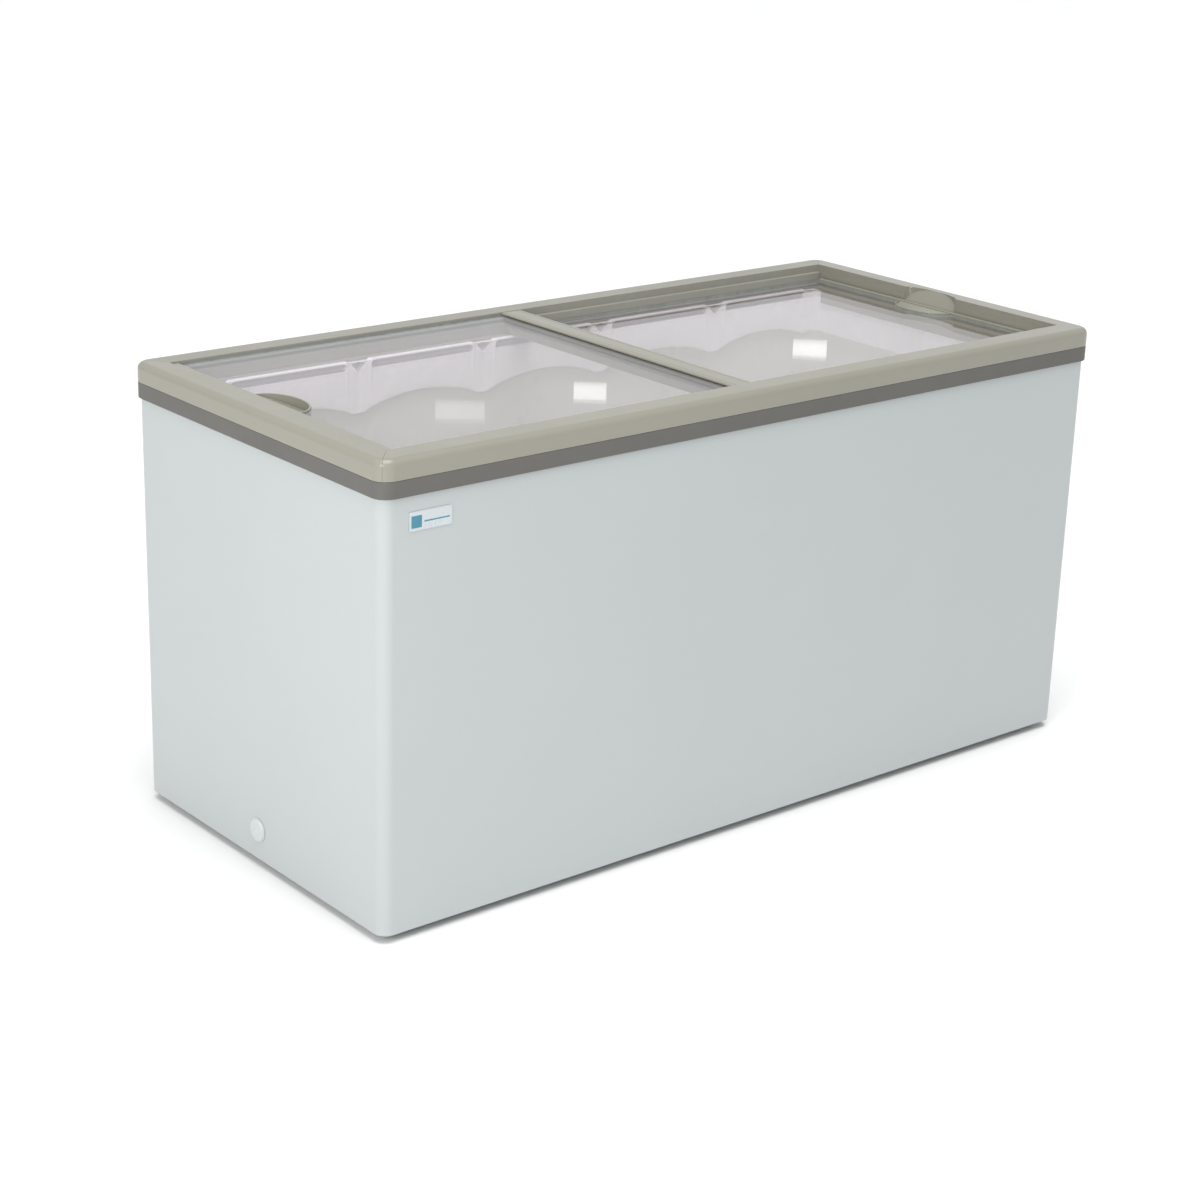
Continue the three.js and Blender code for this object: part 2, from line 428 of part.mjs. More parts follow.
// ---- machine space ----
add('machine_space_liner', box(MACHINE_X - 0.6, MACHINE_X + 0.4, -400, 400, Z0 + 2.6, MACHINE_TOP + 1.3)
  .add(box(MACHINE_X - 0.6, 800, -400, 400, MACHINE_TOP + 0.3, MACHINE_TOP + 1.3))
  .intersect(extrudeZ(roundRect(-HX + 1.7, HX - 1.7, -HY + 1.7, HY - 2.7, CAB_R - 1.6), 0, 400))
  .subtract(cyl('z', 5, 290, 340, [620, 287.5], 8)), 'galvanised');
const COMP = [565, 165];
{
  const [cx, cy] = COMP;
  const profile = [[0, 40], [60, 40], [72, 50], [75, 112], [84, 114], [84, 121], [75, 123], [73, 165], [60, 194], [32, 209], [0, 212]];
  const g = new THREE.LatheGeometry(profile.map(([r, z]) => new THREE.Vector2(r, z)), 24);
  g.rotateX(Math.PI / 2);
  g.translate(cx, cy, 0);
  const stub = union(cyl('z', 4, 190, 232, [cx - 40, cy + 30], 10), cyl('z', 3, 190, 222, [cx + 38, cy - 28], 10));
  add('compressor', union(solid(g), box(cx - 88, cx + 88, cy - 56, cy + 56, 36, 41), stub), 'black');
  for (const [x, y, name] of [[-76, -44, 'front_left'], [76, -44, 'front_right'], [-76, 44, 'rear_left'], [76, 44, 'rear_right']]) {
    add(`compressor_foot_${name}`, cyl('z', 11, Z0 + 2.6, 28, [cx + x, cy + y], 12).add(cyl('z', 7.5, 27, 35.7, [cx + x, cy + y], 12)), 'rubber');
  }
  add('compressor_terminal_cover', box(cx - 24, cx + 24, cy - 128, cy - 84.6, 70, 150), 'black');
}
{
  // condenser: one serpentine tube with wires on both faces, behind the side grille
  const x = 722, y0 = -215, y1 = 120;
  const pts = [];
  for (let i = 0; i < 9; i++) {
    const z = 56 + i * 27;
    const row = [[x, y0, z], [x, y1, z]];
    if (i % 2) row.reverse();
    pts.push(...row);
  }
  pts.unshift([690, y0, 56]);
  pts.push([690, y1, 56 + 8 * 27]);
  const wires = [rod(roundPath(pts, 12, 3), 3.5, 6)];
  for (const y of [y0 + 40, y0 + 125, y0 + 210, y0 + 295]) wires.push(box(x - 5.5, x - 1.5, y - 1, y + 1, 44, 284));
  add('condenser', union(...wires), 'black');
}
const FAN = [-50, 165];
{
  const [fy, fz] = FAN;
  add('fan_motor', cyl('x', 28, 626, 668, FAN, 20).subtract(cyl('x', 3.4, 655, 680, FAN, 12)), 'black');
  add('fan_stand', union(box(636, 658, fy - 9, fy + 9, 19, fz - 28.4), box(628, 666, fy - 28, fy + 28, Z0 + 2.6, 20)), 'galvanised');
  let rotor = cyl('x', 15, 669, 690, FAN, 16).add(cyl('x', 3, 657, 672, FAN, 12));
  for (let i = 0; i < 5; i++) {
    const g = new THREE.BoxGeometry(2, 34, 50);
    g.rotateZ(0.5);
    g.translate(0, 0, 37);
    g.rotateX((2 * Math.PI * i) / 5);
    g.translate(680, fy, fz);
    rotor = rotor.add(solid(g));
  }
  add('fan_blades', rotor, 'grey_plastic');
  add('fan_shroud', box(694, 696, fy - 90, fy + 90, Z0 + 2.6, 250).subtract(cyl('x', 66, 680, 710, FAN, 28)), 'galvanised');
}
add('filter_drier', cyl('z', 9, 90, 180, [474, 40], 14).add(cyl('z', 3, 70, 200, [474, 40], 8)), 'copper');
{
  const [cx, cy] = COMP;
  add('discharge_tube', rod(roundPath([[cx + 38, cy - 28, 222.4], [cx + 38, cy - 28, 262], [660, 124, 262], [660, 120, 272], [689.6, 120, 272]], 12, 3), 3, 6), 'copper');
  add('suction_tube', rod(roundPath([[620, 287.5, 299.6], [620, 287.5, 270], [cx - 40, 287.5, 270], [cx - 40, cy + 30, 270], [cx - 40, cy + 30, 232.4]], 14, 3), 4, 6), 'copper');
}
add('junction_box', box(459, 500, 268, 328, 50, 124), 'grey_plastic');
add('mains_inlet_gland', union(cyl('y', 9, 328.6, HY + 1.6, [474, 80], 14), cyl('y', 12.5, HY - 1, HY + 4.4, [474, 80], 16, 10)).subtract(cyl('y', 4, 320, HY + 20, [474, 80], 12)), 'rubber');

// ---- grilles, control and badge ----
{
  let plate = extrudeX(roundRect(-246, 246, 44, 296, 10, 4), HX + GAP, HX + 3);
  for (let i = 0; i < 11; i++) plate = plate.subtract(box(HX - 5, HX + 10, -226, 118, 62 + i * 19, 70 + i * 19));
  // recessed pocket for the control
  const pocket = box(HX - 17, HX + 1, 138, 228, 196, 280);
  plate = plate.add(pocket).subtract(box(HX - 15, HX + 10, 141, 225, 199, 277));
  plate = plate.subtract(cyl('x', 4, HX - 30, HX, [183, 232], 12));
  for (const z of [264]) for (const y of [183]) plate = plate.subtract(cyl('x', 3.3, HX - 30, HX, [y, z], 12));
  add('side_grille', plate, 'grey_plastic');
  add('thermostat_knob', union(cyl('x', 19, HX - 14.6, HX - 1, [183, 232], 24, 16.5), cyl('x', 3.5, HX - 24, HX - 14, [183, 232], 10)).subtract(box(HX - 2.2, HX + 5, 182, 184, 236, 252)), 'knob');
  add('thermostat_body', box(HX - 54, HX - 17.4, 160, 206, 209, 255).subtract(cyl('x', 3.9, HX - 25, HX, [183, 232], 12)), 'grey_plastic');
  add('indicator_lamp', cyl('x', 3, HX - 20, HX - 12, [183, 264], 12), 'lens');
}
{
  let plate = extrudeY(roundRect(492, 708, 46, 294, 8, 4), HY + GAP, HY + 1.8);
  plate = plate.add(extrudeY(roundRect(506, 694, 61, 279, 4, 3), HY - 2, HY + 1));
  for (let i = 0; i < 10; i++) plate = plate.subtract(box(518, 682, HY - 10, HY + 10, 72 + i * 20, 81 + i * 20));
  add('rear_grille', plate, 'grey_plastic');
  for (const [x, z, name] of [[499, 53, 'low_left'], [701, 53, 'low_right'], [499, 287, 'top_left'], [701, 287, 'top_right']]) {
    add(`rear_grille_screw_${name}`, cyl('y', 4, HY + 2.1, HY + 3.6, [x, z], 10), 'alu');
  }
}
add('badge_plate', extrudeY(roundRect(-704, -629, ZC - 54, ZC - 25, 2, 2), -HY - 1.5, -HY - GAP), 'badge');

export default root;
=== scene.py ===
import json
import math

import bmesh
import bpy
import numpy as np
from mathutils import Matrix, Vector

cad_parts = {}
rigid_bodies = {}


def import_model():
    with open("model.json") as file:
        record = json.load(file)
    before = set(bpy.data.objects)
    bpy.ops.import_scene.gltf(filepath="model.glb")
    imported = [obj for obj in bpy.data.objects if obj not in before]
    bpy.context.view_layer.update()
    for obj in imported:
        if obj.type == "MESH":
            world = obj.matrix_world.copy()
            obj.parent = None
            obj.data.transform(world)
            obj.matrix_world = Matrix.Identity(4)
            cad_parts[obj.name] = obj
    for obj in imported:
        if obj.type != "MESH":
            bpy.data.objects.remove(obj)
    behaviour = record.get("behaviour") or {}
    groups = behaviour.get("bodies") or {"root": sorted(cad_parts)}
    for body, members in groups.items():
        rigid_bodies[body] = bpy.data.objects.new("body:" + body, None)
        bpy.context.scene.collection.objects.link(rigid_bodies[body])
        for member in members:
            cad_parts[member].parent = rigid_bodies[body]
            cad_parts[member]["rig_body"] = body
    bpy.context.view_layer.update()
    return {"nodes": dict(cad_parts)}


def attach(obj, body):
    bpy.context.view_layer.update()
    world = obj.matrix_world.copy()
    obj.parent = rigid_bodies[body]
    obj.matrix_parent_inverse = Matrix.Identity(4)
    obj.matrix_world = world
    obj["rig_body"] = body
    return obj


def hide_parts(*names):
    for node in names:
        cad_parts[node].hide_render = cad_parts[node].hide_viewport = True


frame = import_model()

NODES = frame["nodes"]
MM = 0.001
scene = bpy.context.scene
scene.view_settings.view_transform = "Standard"
scene.view_settings.look = "None"
scene.view_settings.exposure = 0.0
scene.view_settings.gamma = 1.0

# ------------------------------------------------------------------ camera
def make_camera():
    a, e, r = math.radians(-40.0173), math.radians(19.4387), math.radians(1.7883)
    back = Vector((math.sin(a) * math.cos(e), -math.cos(a) * math.cos(e), math.sin(e)))
    fwd = -back
    right = fwd.cross(Vector((0, 0, 1))).normalized()
    up = right.cross(fwd)
    R = math.cos(r) * right + math.sin(r) * up
    U = -math.sin(r) * right + math.cos(r) * up
    data = bpy.data.cameras.new("camera")
    data.sensor_width = 36.0
    data.sensor_fit = "HORIZONTAL"
    data.lens = 2500.41 / 1200.0 * 36.0
    data.clip_start, data.clip_end = 0.05, 200.0
    cam = bpy.data.objects.new("camera", data)
    m = Matrix(((R.x, U.x, back.x, -2.6541), (R.y, U.y, back.y, -3.0875), (R.z, U.z, back.z, 1.7325), (0, 0, 0, 1)))
    cam.matrix_world = m
    scene.collection.objects.link(cam)
    scene.camera = cam


make_camera()


# ------------------------------------------------------------------ node materials
def lin(r, g, b):
    out = []
    for c in (r, g, b):
        c /= 255.0
        out.append(c / 12.92 if c <= 0.04045 else ((c + 0.055) / 1.055) ** 2.4)
    return tuple(out)


class Mat:
    def __init__(self, name):
        self.mat = bpy.data.materials.new(name)
        self.mat.use_nodes = True
        self.nt = self.mat.node_tree
        self.nt.nodes.clear()
        self.out = self.nt.nodes.new("ShaderNodeOutputMaterial")

    def link(self, a, b):
        self.nt.links.new(a, b)

    def coords(self, stretch=(1, 1, 1)):
        tc = self.nt.nodes.new("ShaderNodeTexCoord")
        mp = self.nt.nodes.new("ShaderNodeMapping")
        mp.inputs["Scale"].default_value = stretch
        self.link(tc.outputs["Object"], mp.inputs["Vector"])
        return mp.outputs["Vector"]

    def noise(self, scale, detail=2.0, rough=0.5, stretch=(1, 1, 1)):
        n = self.nt.nodes.new("ShaderNodeTexNoise")
        n.inputs["Scale"].default_value = scale
        n.inputs["Detail"].default_value = detail
        n.inputs["Roughness"].default_value = rough
        self.link(self.coords(stretch), n.inputs["Vector"])
        return n.outputs["Fac"]

    def voronoi(self, scale, feature="F1", stretch=(1, 1, 1)):
        n = self.nt.nodes.new("ShaderNodeTexVoronoi")
        n.feature = feature
        n.inputs["Scale"].default_value = scale
        self.link(self.coords(stretch), n.inputs["Vector"])
        return n.outputs["Distance"]

    def remap(self, socket, a, b, c, d):
        n = self.nt.nodes.new("ShaderNodeMapRange")
        n.clamp = True
        for k, v in zip(("From Min", "From Max", "To Min", "To Max"), (a, b, c, d)):
            n.inputs[k].default_value = v
        self.link(socket, n.inputs["Value"])
        return n.outputs["Result"]

    def math(self, op, a, b=None):
        n = self.nt.nodes.new("ShaderNodeMath")
        n.operation = op
        for i, v in enumerate((a, b)):
            if v is None:
                continue
            if isinstance(v, (int, float)):
                n.inputs[i].default_value = v
            else:
                self.link(v, n.inputs[i])
        return n.outputs[0]

    def mixcol(self, fac, a, b):
        n = self.nt.nodes.new("ShaderNodeMix")
        n.data_type = "RGBA"
        n.blend_type = "MIX"
        for key, v in ((6, a), (7, b)):
            if isinstance(v, tuple):
                n.inputs[key].default_value = (*v, 1.0)
            else:
                self.link(v, n.inputs[key])
        if isinstance(fac, (int, float)):
            n.inputs[0].default_value = fac
        else:
            self.link(fac, n.inputs[0])
        return n.outputs[2]

    def bump(self, height, distance, strength=1.0, normal=None):
        n = self.nt.nodes.new("ShaderNodeBump")
        n.inputs["Strength"].default_value = strength
        n.inputs["Distance"].default_value = distance
        self.link(height, n.inputs["Height"])
        if normal is not None:
            self.link(normal, n.inputs["Normal"])
        return n.outputs["Normal"]


def pbr(name, colour, rough=0.4, metal=0.0, spec=0.5, coat=0.0, coat_rough=0.1, vary=0.04, vary_scale=6.0, rough_vary=0.06,
        grain=None, waves=None, stretch=(1, 1, 1), speck=None, dust=0.0, wear=None, sheen=0.0):
    """A surface with its own colour drift, roughness drift, grain and slow waves. colour is linear RGB."""
    m = Mat(name)
    p = m.nt.nodes.new("ShaderNodeBsdfPrincipled")
    p.inputs["Metallic"].default_value = metal
    p.inputs["Specular IOR Level"].default_value = spec
    p.inputs["Coat Weight"].default_value = coat
    p.inputs["Coat Roughness"].default_value = coat_rough
    p.inputs["Sheen Weight"].default_value = sheen
    dark = tuple(c * (1 - vary) for c in colour)
    light = tuple(min(1.0, c * (1 + vary)) for c in colour)
    drift = m.noise(vary_scale, 3.0, 0.55, stretch)
    col = m.mixcol(m.remap(drift, 0.3, 0.7, 0, 1), dark, light)
    if speck:
        scale, amount, tint = speck
        dots = m.remap(m.noise(scale, 2.0, 0.6), 0.62, 0.72, 0, amount)
        col = m.mixcol(dots, col, tint)
    if dust:
        g = m.nt.nodes.new("ShaderNodeNewGeometry")
        sep = m.nt.nodes.new("ShaderNodeSeparateXYZ")
        m.link(g.outputs["Normal"], sep.inputs[0])
        up = m.math("MULTIPLY", m.remap(sep.outputs["Z"], 0.4, 1.0, 0, dust), m.remap(m.noise(30.0, 4.0, 0.6), 0.35, 0.65, 0.3, 1.0))
        col = m.mixcol(up, col, lin(190, 186, 178))
    if wear:
        amount, tint = wear
        g = m.nt.nodes.new("ShaderNodeNewGeometry")
        edge = m.remap(g.outputs["Pointiness"], 0.52, 0.60, 0, amount)
        edge = m.math("MULTIPLY", edge, m.remap(m.noise(120.0, 3.0), 0.4, 0.6, 0, 1))
        col = m.mixcol(edge, col, tint)
    m.link(col, p.inputs["Base Color"])
    rv = m.noise(vary_scale * 2.3 + 3.0, 4.0, 0.6, stretch)
    m.link(m.remap(rv, 0.3, 0.7, max(0.02, rough - rough_vary), min(1.0, rough + rough_vary)), p.inputs["Roughness"])
    normal = None
    if waves:
        scale, dist = waves
        normal = m.bump(m.noise(scale, 1.0, 0.4), dist, 1.0)
    if grain:
        scale, dist = grain[:2]
        st = grain[2] if len(grain) > 2 else stretch
        normal = m.bump(m.noise(scale, 3.0, 0.6, st), dist, 1.0, normal)
    if normal is not None:
        m.link(normal, p.inputs["Normal"])
    m.link(p.outputs[0], m.out.inputs["Surface"])
    return m.mat


def glass_material(name, tint, clear=1.0, base=0.04, haze=0.0):
    """A pane: it lets light straight through with a tint, and mirrors more at low angles."""
    m = Mat(name)
    t = m.nt.nodes.new("ShaderNodeBsdfTransparent")
    drift = m.noise(1.7, 2.0)
    m.link(m.mixcol(m.remap(drift, 0.3, 0.7, 0, 1), tint, tuple(min(1.0, c * 1.012) for c in tint)), t.inputs["Color"])
    g = m.nt.nodes.new("ShaderNodeBsdfGlossy")
    g.inputs["Color"].default_value = (0.97, 0.97, 0.98, 1)
    g.inputs["Roughness"].default_value = 0.02
    lw = m.nt.nodes.new("ShaderNodeLayerWeight")
    lw.inputs["Blend"].default_value = 0.5
    f = m.math("POWER", lw.outputs["Facing"], 5.0)
    f = m.math("MULTIPLY", f, 0.96 * clear)
    f = m.math("ADD", f, base)
    smear = m.remap(m.noise(9.0, 5.0, 0.65, (1, 2.2, 1)), 0.45, 0.75, 0.0, 0.012 + haze)
    f = m.math("ADD", f, smear)
    mix = m.nt.nodes.new("ShaderNodeMixShader")
    m.link(f, mix.inputs[0])
    m.link(t.outputs[0], mix.inputs[1])
    m.link(g.outputs[0], mix.inputs[2])
    m.link(mix.outputs[0], m.out.inputs["Surface"])
    return m.mat


WHITE = pbr("painted_steel", lin(181, 186, 186), rough=0.34, spec=0.45, coat=0.25, coat_rough=0.12, vary=0.012, vary_scale=2.2, rough_vary=0.05, grain=(1100.0, 0.000022), waves=(3.2, 0.0011))
WHITE_REAR = pbr("painted_steel_rear", lin(180, 185, 185), rough=0.42, vary=0.02, vary_scale=3.0, grain=(1000.0, 0.00003), waves=(4.0, 0.0016))
FRAME = pbr("frame_profile", lin(145, 143, 131), rough=0.34, spec=0.45, coat=0.3, coat_rough=0.16, vary=0.02, vary_scale=2.4, rough_vary=0.05, grain=(900.0, 0.00002), waves=(7.0, 0.0002))
FRAME_REAR = pbr("frame_profile_rear", lin(148, 147, 138), rough=0.42, spec=0.4, vary=0.03, vary_scale=5.0, rough_vary=0.06, grain=(700.0, 0.00003))
BAND = pbr("band_profile", lin(99, 98, 94), rough=0.48, spec=0.35, vary=0.03, vary_scale=7.0, grain=(800.0, 0.00004))
COLLAR = pbr("collar_abs", lin(246, 244, 247), rough=0.26, spec=0.5, coat=0.2, coat_rough=0.08, vary=0.012, vary_scale=5.0, grain=(400.0, 0.00003), waves=(12.0, 0.0004))
# Tank liner: coated steel, but its colour is set greyer than the collar as painted shade, standing in for the shadow
# the frame casts on the lower inner walls.
TANK_PAINTED_SHADE = pbr("tank_steel_painted_shade", lin(226, 227, 219), rough=0.3, metal=0.0, spec=0.5, coat=0.3, coat_rough=0.15, vary=0.02, vary_scale=3.0, grain=(900.0, 0.00002), waves=(3.0, 0.0003))
# Darker copy of the collar colour, put in the deepest recesses and rib notches as painted shade.
COLLAR_PAINTED_SHADE = pbr("collar_recess_painted_shade", lin(188, 184, 189), rough=0.45, vary=0.03, vary_scale=9.0, grain=(500.0, 0.00004))
FOAM = pbr("rigid_foam", lin(236, 222, 170), rough=0.9, vary=0.1, vary_scale=40.0, grain=(420.0, 0.0006))
ZINC = pbr("galvanised_sheet", lin(168, 171, 173), rough=0.42, metal=0.85, vary=0.09, vary_scale=55.0, rough_vary=0.12, grain=(220.0, 0.00004), dust=0.25)
BLACK = pbr("black_enamel", lin(26, 27, 29), rough=0.34, spec=0.5, coat=0.3, coat_rough=0.2, vary=0.12, vary_scale=14.0, grain=(500.0, 0.00005), dust=0.35)
BLACK_PL = pbr("black_plastic", lin(34, 35, 37), rough=0.52, vary=0.06, vary_scale=12.0, grain=(900.0, 0.00005))
RUBBER = pbr("rubber", lin(30, 30, 31), rough=0.82, spec=0.3, vary=0.12, vary_scale=20.0, grain=(600.0, 0.00009))
COPPER = pbr("copper_tube", lin(196, 120, 78), rough=0.3, metal=1.0, vary=0.12, vary_scale=30.0, rough_vary=0.12, grain=(350.0, 0.00003))
WHITE_PL = pbr("white_plastic", lin(196, 200, 200), rough=0.3, spec=0.5, vary=0.015, vary_scale=20.0, grain=(900.0, 0.00003))
GREY_PL = pbr("grey_plastic", lin(150, 152, 153), rough=0.5, vary=0.03, vary_scale=10.0, grain=(1000.0, 0.00005))
GRILLE_PL = pbr("grille_plastic", lin(198, 201, 201), rough=0.46, vary=0.02, vary_scale=10.0, grain=(1000.0, 0.00006))
SCREW = pbr("plated_screw", lin(196, 198, 200), rough=0.24, metal=1.0, vary=0.05, vary_scale=90.0, grain=(1200.0, 0.00003))
BADGE = pbr("badge_foil", lin(196, 203, 206), rough=0.3, metal=0.15, coat=0.4, coat_rough=0.1, vary=0.02, vary_scale=30.0, grain=(1500.0, 0.00002))
TEAL = pbr("badge_teal", lin(58, 128, 150), rough=0.32, coat=0.4, coat_rough=0.1, vary=0.08, vary_scale=60.0, grain=(1500.0, 0.00002))
BRISTLE = pbr("pile_bristle", lin(70, 71, 74), rough=0.85, vary=0.3, vary_scale=400.0, grain=(1800.0, 0.0002), sheen=0.3)
LENS = pbr("green_lens", lin(40, 150, 70), rough=0.15, coat=0.6, coat_rough=0.05, vary=0.08, vary_scale=200.0, grain=(900.0, 0.00002))
GLASS = glass_material("lid_glass", (0.985, 0.971, 0.984))
GLASS_EDGE = pbr("glass_ground_edge", lin(150, 158, 153), rough=0.3, spec=0.6, vary=0.12, vary_scale=40.0, grain=(700.0, 0.00006))
INK = pbr("dial_ink", lin(40, 42, 44), rough=0.6, vary=0.05, vary_scale=50.0, grain=(1500.0, 0.00002))


# ------------------------------------------------------------------ mesh tools
def finish_mesh(name, bm, mats, body, replaces=(), smooth=True, bevel=None, seg=2, angle=30.0, weighted=True, recalc=True):
    if recalc:
        bmesh.ops.recalc_face_normals(bm, faces=bm.faces)
    me = bpy.data.meshes.new(name)
    bm.to_mesh(me)
    bm.free()
    for m in mats if isinstance(mats, (list, tuple)) else [mats]:
        me.materials.append(m)
    if smooth:
        me.polygons.foreach_set("use_smooth", [True] * len(me.polygons))
    o = bpy.data.objects.new(name, me)
    scene.collection.objects.link(o)
    if bevel:
        b = o.modifiers.new("edge_round", "BEVEL")
        b.width, b.segments, b.limit_method, b.angle_limit = bevel, seg, "ANGLE", math.radians(angle)
        b.miter_outer = "MITER_ARC"
        b.use_clamp_overlap = True
    elif smooth:
        mark_sharp(me, angle)
    if weighted and smooth:
        w = o.modifiers.new("even_normals", "WEIGHTED_NORMAL")
        w.keep_sharp, w.weight = True, 60
    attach(o, body)
    if replaces:
        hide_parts(*([replaces] if isinstance(replaces, str) else replaces))
    return o


def mark_sharp(me, angle):
    bm = bmesh.new()
    bm.from_mesh(me)
    lim = math.radians(angle)
    for e in bm.edges:
        e.smooth = len(e.link_faces) == 2 and e.calc_face_angle(0.0) < lim
    bm.to_mesh(me)
    bm.free()


def cad_bm(node, merge=2e-5):
    bm = bmesh.new()
    bm.from_mesh(NODES[node].data)
    bmesh.ops.remove_doubles(bm, verts=bm.verts, dist=merge)
    bmesh.ops.join_triangles(bm, faces=bm.faces, angle_face_threshold=math.radians(1.0), angle_shape_threshold=math.radians(120.0))
    bm.normal_update()
    return bm


def refine(node, mats, bevel=0.0005, seg=2, angle=30.0, name=None, faces=None):
    """A finer piece for a CAD node: merged faces, rounded edges, even normals."""
    bm = cad_bm(node)
    if faces:
        for f in bm.faces:
            f.material_index = faces(f)
    body = NODES[node]["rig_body"]
    return finish_mesh(name or node + "_fine", bm, mats, body, node, bevel=bevel, seg=seg, angle=angle, recalc=False)


def sweep(bm, rows, closed_u=True, closed_v=True, mat=0):
    """rows[i][j] points: i along the path, j round the section."""
    grid = [[bm.verts.new(Vector(p)) for p in row] for row in rows]
    n, m = len(grid), len(grid[0])
    for i in range(n if closed_u else n - 1):
        for j in range(m if closed_v else m - 1):
            a, b = grid[i], grid[(i + 1) % n]
            f = bm.faces.new((a[j], b[j], b[(j + 1) % m], a[(j + 1) % m]))
            f.material_index = mat
    if closed_v and not closed_u:
        for row in (grid[0], grid[-1][::-1]):
            f = bm.faces.new(row)
            f.material_index = mat
    return grid


def lathe(bm, profile, axis="z", centre=(0, 0, 0), seg=48, mat=0):
    """profile is [(radius, along)], in mm, from the axis back to the axis."""
    c = Vector(centre) * MM
    rows = []
    for k in range(seg):
        a = 2 * math.pi * k / seg
        row = []
        for r, h in profile:
            r = max(r, 0.0)
            u, v, w = r * math.cos(a) * MM, r * math.sin(a) * MM, h * MM
            row.append(c + (Vector((u, v, w)) if axis == "z" else Vector((w, u, v)) if axis == "x" else Vector((v, w, u))))
        rows.append(row)
    before = len(bm.verts)
    sweep(bm, rows, True, False, mat)
    bm.verts.ensure_lookup_table()
    bmesh.ops.remove_doubles(bm, verts=bm.verts[before:], dist=1e-7)
    return bm


def tube(bm, pts, r, sides=10, mat=0, cap=True):
    """A round rod through points in mm."""
    P = [Vector(p) * MM for p in pts]
    r *= MM
    n = len(P)
    t0 = (P[1] - P[0]).normalized()
    nrm = Vector((0, 0, 1)) if abs(t0.z) < 0.9 else Vector((1, 0, 0))
    rows = []
    for i in range(n):
        a = (P[i] - P[i - 1]).normalized() if i else t0
        b = (P[i + 1] - P[i]).normalized() if i < n - 1 else a
        t = (a + b).normalized()
        nrm = (nrm - t * nrm.dot(t)).normalized()
        bi = t.cross(nrm)
        k = 1.0 / max(0.4, t.dot(a))
        rows.append([P[i] + nrm * (r * math.cos(2 * math.pi * j / sides)) + bi * (r * math.sin(2 * math.pi * j / sides)) for j in range(sides)])
    sweep(bm, rows, False, True, mat)


def smooth_path(pts, radius, seg=8):
    v = [Vector(p) for p in pts]
    out = [v[0]]
    for i in range(1, len(v) - 1):
        a, b = v[i - 1] - v[i], v[i + 1] - v[i]
        d = min(radius, a.length * 0.49, b.length * 0.49)
        a.normalize(); b.normalize()
        p, q = v[i] + a * d, v[i] + b * d
        for k in range(seg + 1):
            t = k / seg
            out.append(p * (1 - t) ** 2 + v[i] * 2 * t * (1 - t) + q * t * t)
    out.append(v[-1])
    return out


def slab(bm, x0, x1, y0, y1, z0, z1, round_=0.0, seg=2, mat=0):
    """A block in mm with its edges rounded."""
    made = bmesh.ops.create_cube(bm, size=1.0)["verts"]
    for v in made:
        v.co = Vector(((x0 + x1) / 2 + v.co.x * (x1 - x0), (y0 + y1) / 2 + v.co.y * (y1 - y0), (z0 + z1) / 2 + v.co.z * (z1 - z0))) * MM
    faces = list({f for v in made for f in v.link_faces})
    for f in faces:
        f.material_index = mat
    if round_:
        edges = list({e for v in made for e in v.link_edges})
        bmesh.ops.bevel(bm, geom=edges, offset=round_ * MM, segments=seg, profile=0.5, affect="EDGES", clamp_overlap=True, material=mat)
    return made


def prism(bm, outline, axis, a, b, mat=0):
    """A flat outline of (u, v) in mm, carried along an axis from a to b."""
    def at(u, v, w):
        return Vector((u, v, w) if axis == "z" else (u, w, v) if axis == "y" else (w, u, v)) * MM
    lo = [bm.verts.new(at(u, v, a)) for u, v in outline]
    hi = [bm.verts.new(at(u, v, b)) for u, v in outline]
    n = len(outline)
    for f in [bm.faces.new(lo[::-1]), bm.faces.new(hi)] + [bm.faces.new((lo[i], lo[(i + 1) % n], hi[(i + 1) % n], hi[i])) for i in range(n)]:
        f.material_index = mat


def rounded(x0, x1, y0, y1, r, seg=8):
    pts = []
    for cx, cy, a0 in ((x1 - r, y1 - r, 0), (x0 + r, y1 - r, 90), (x0 + r, y0 + r, 180), (x1 - r, y0 + r, 270)):
        for k in range(seg + 1):
            a = math.radians(a0 + 90 * k / seg)
            pts.append((cx + r * math.cos(a), cy + r * math.sin(a)))
    return pts


def smoothstep(a, b, x):
    t = np.clip((x - a) / (b - a), 0, 1)
    return t * t * (3 - 2 * t)


# ------------------------------------------------------------------ casing
refine("cabinet_wrap", WHITE, bevel=0.0012, seg=3, angle=32)
refine("rear_panel", WHITE_REAR, bevel=0.0003, seg=1)
refine("base_pan", ZINC, bevel=0.0004, seg=2)


def hem_and_seams():
    # row of rivets along the casing's folded flange over the rear panel
    for k, x in enumerate((-721.0, 721.0)):
        bm = bmesh.new()
        for i in range(7):
            z = 60 + i * 98
            lathe(bm, [(0, 0), (2.6, 0), (3.2, 0.35), (3.0, 0.9), (2.0, 1.35), (0, 1.5)], "y", (x, 341.0, z), 20)
        finish_mesh(f"rear_rivets_{'left' if x < 0 else 'right'}", bm, SCREW, "cabinet", angle=50)


hem_and_seams()


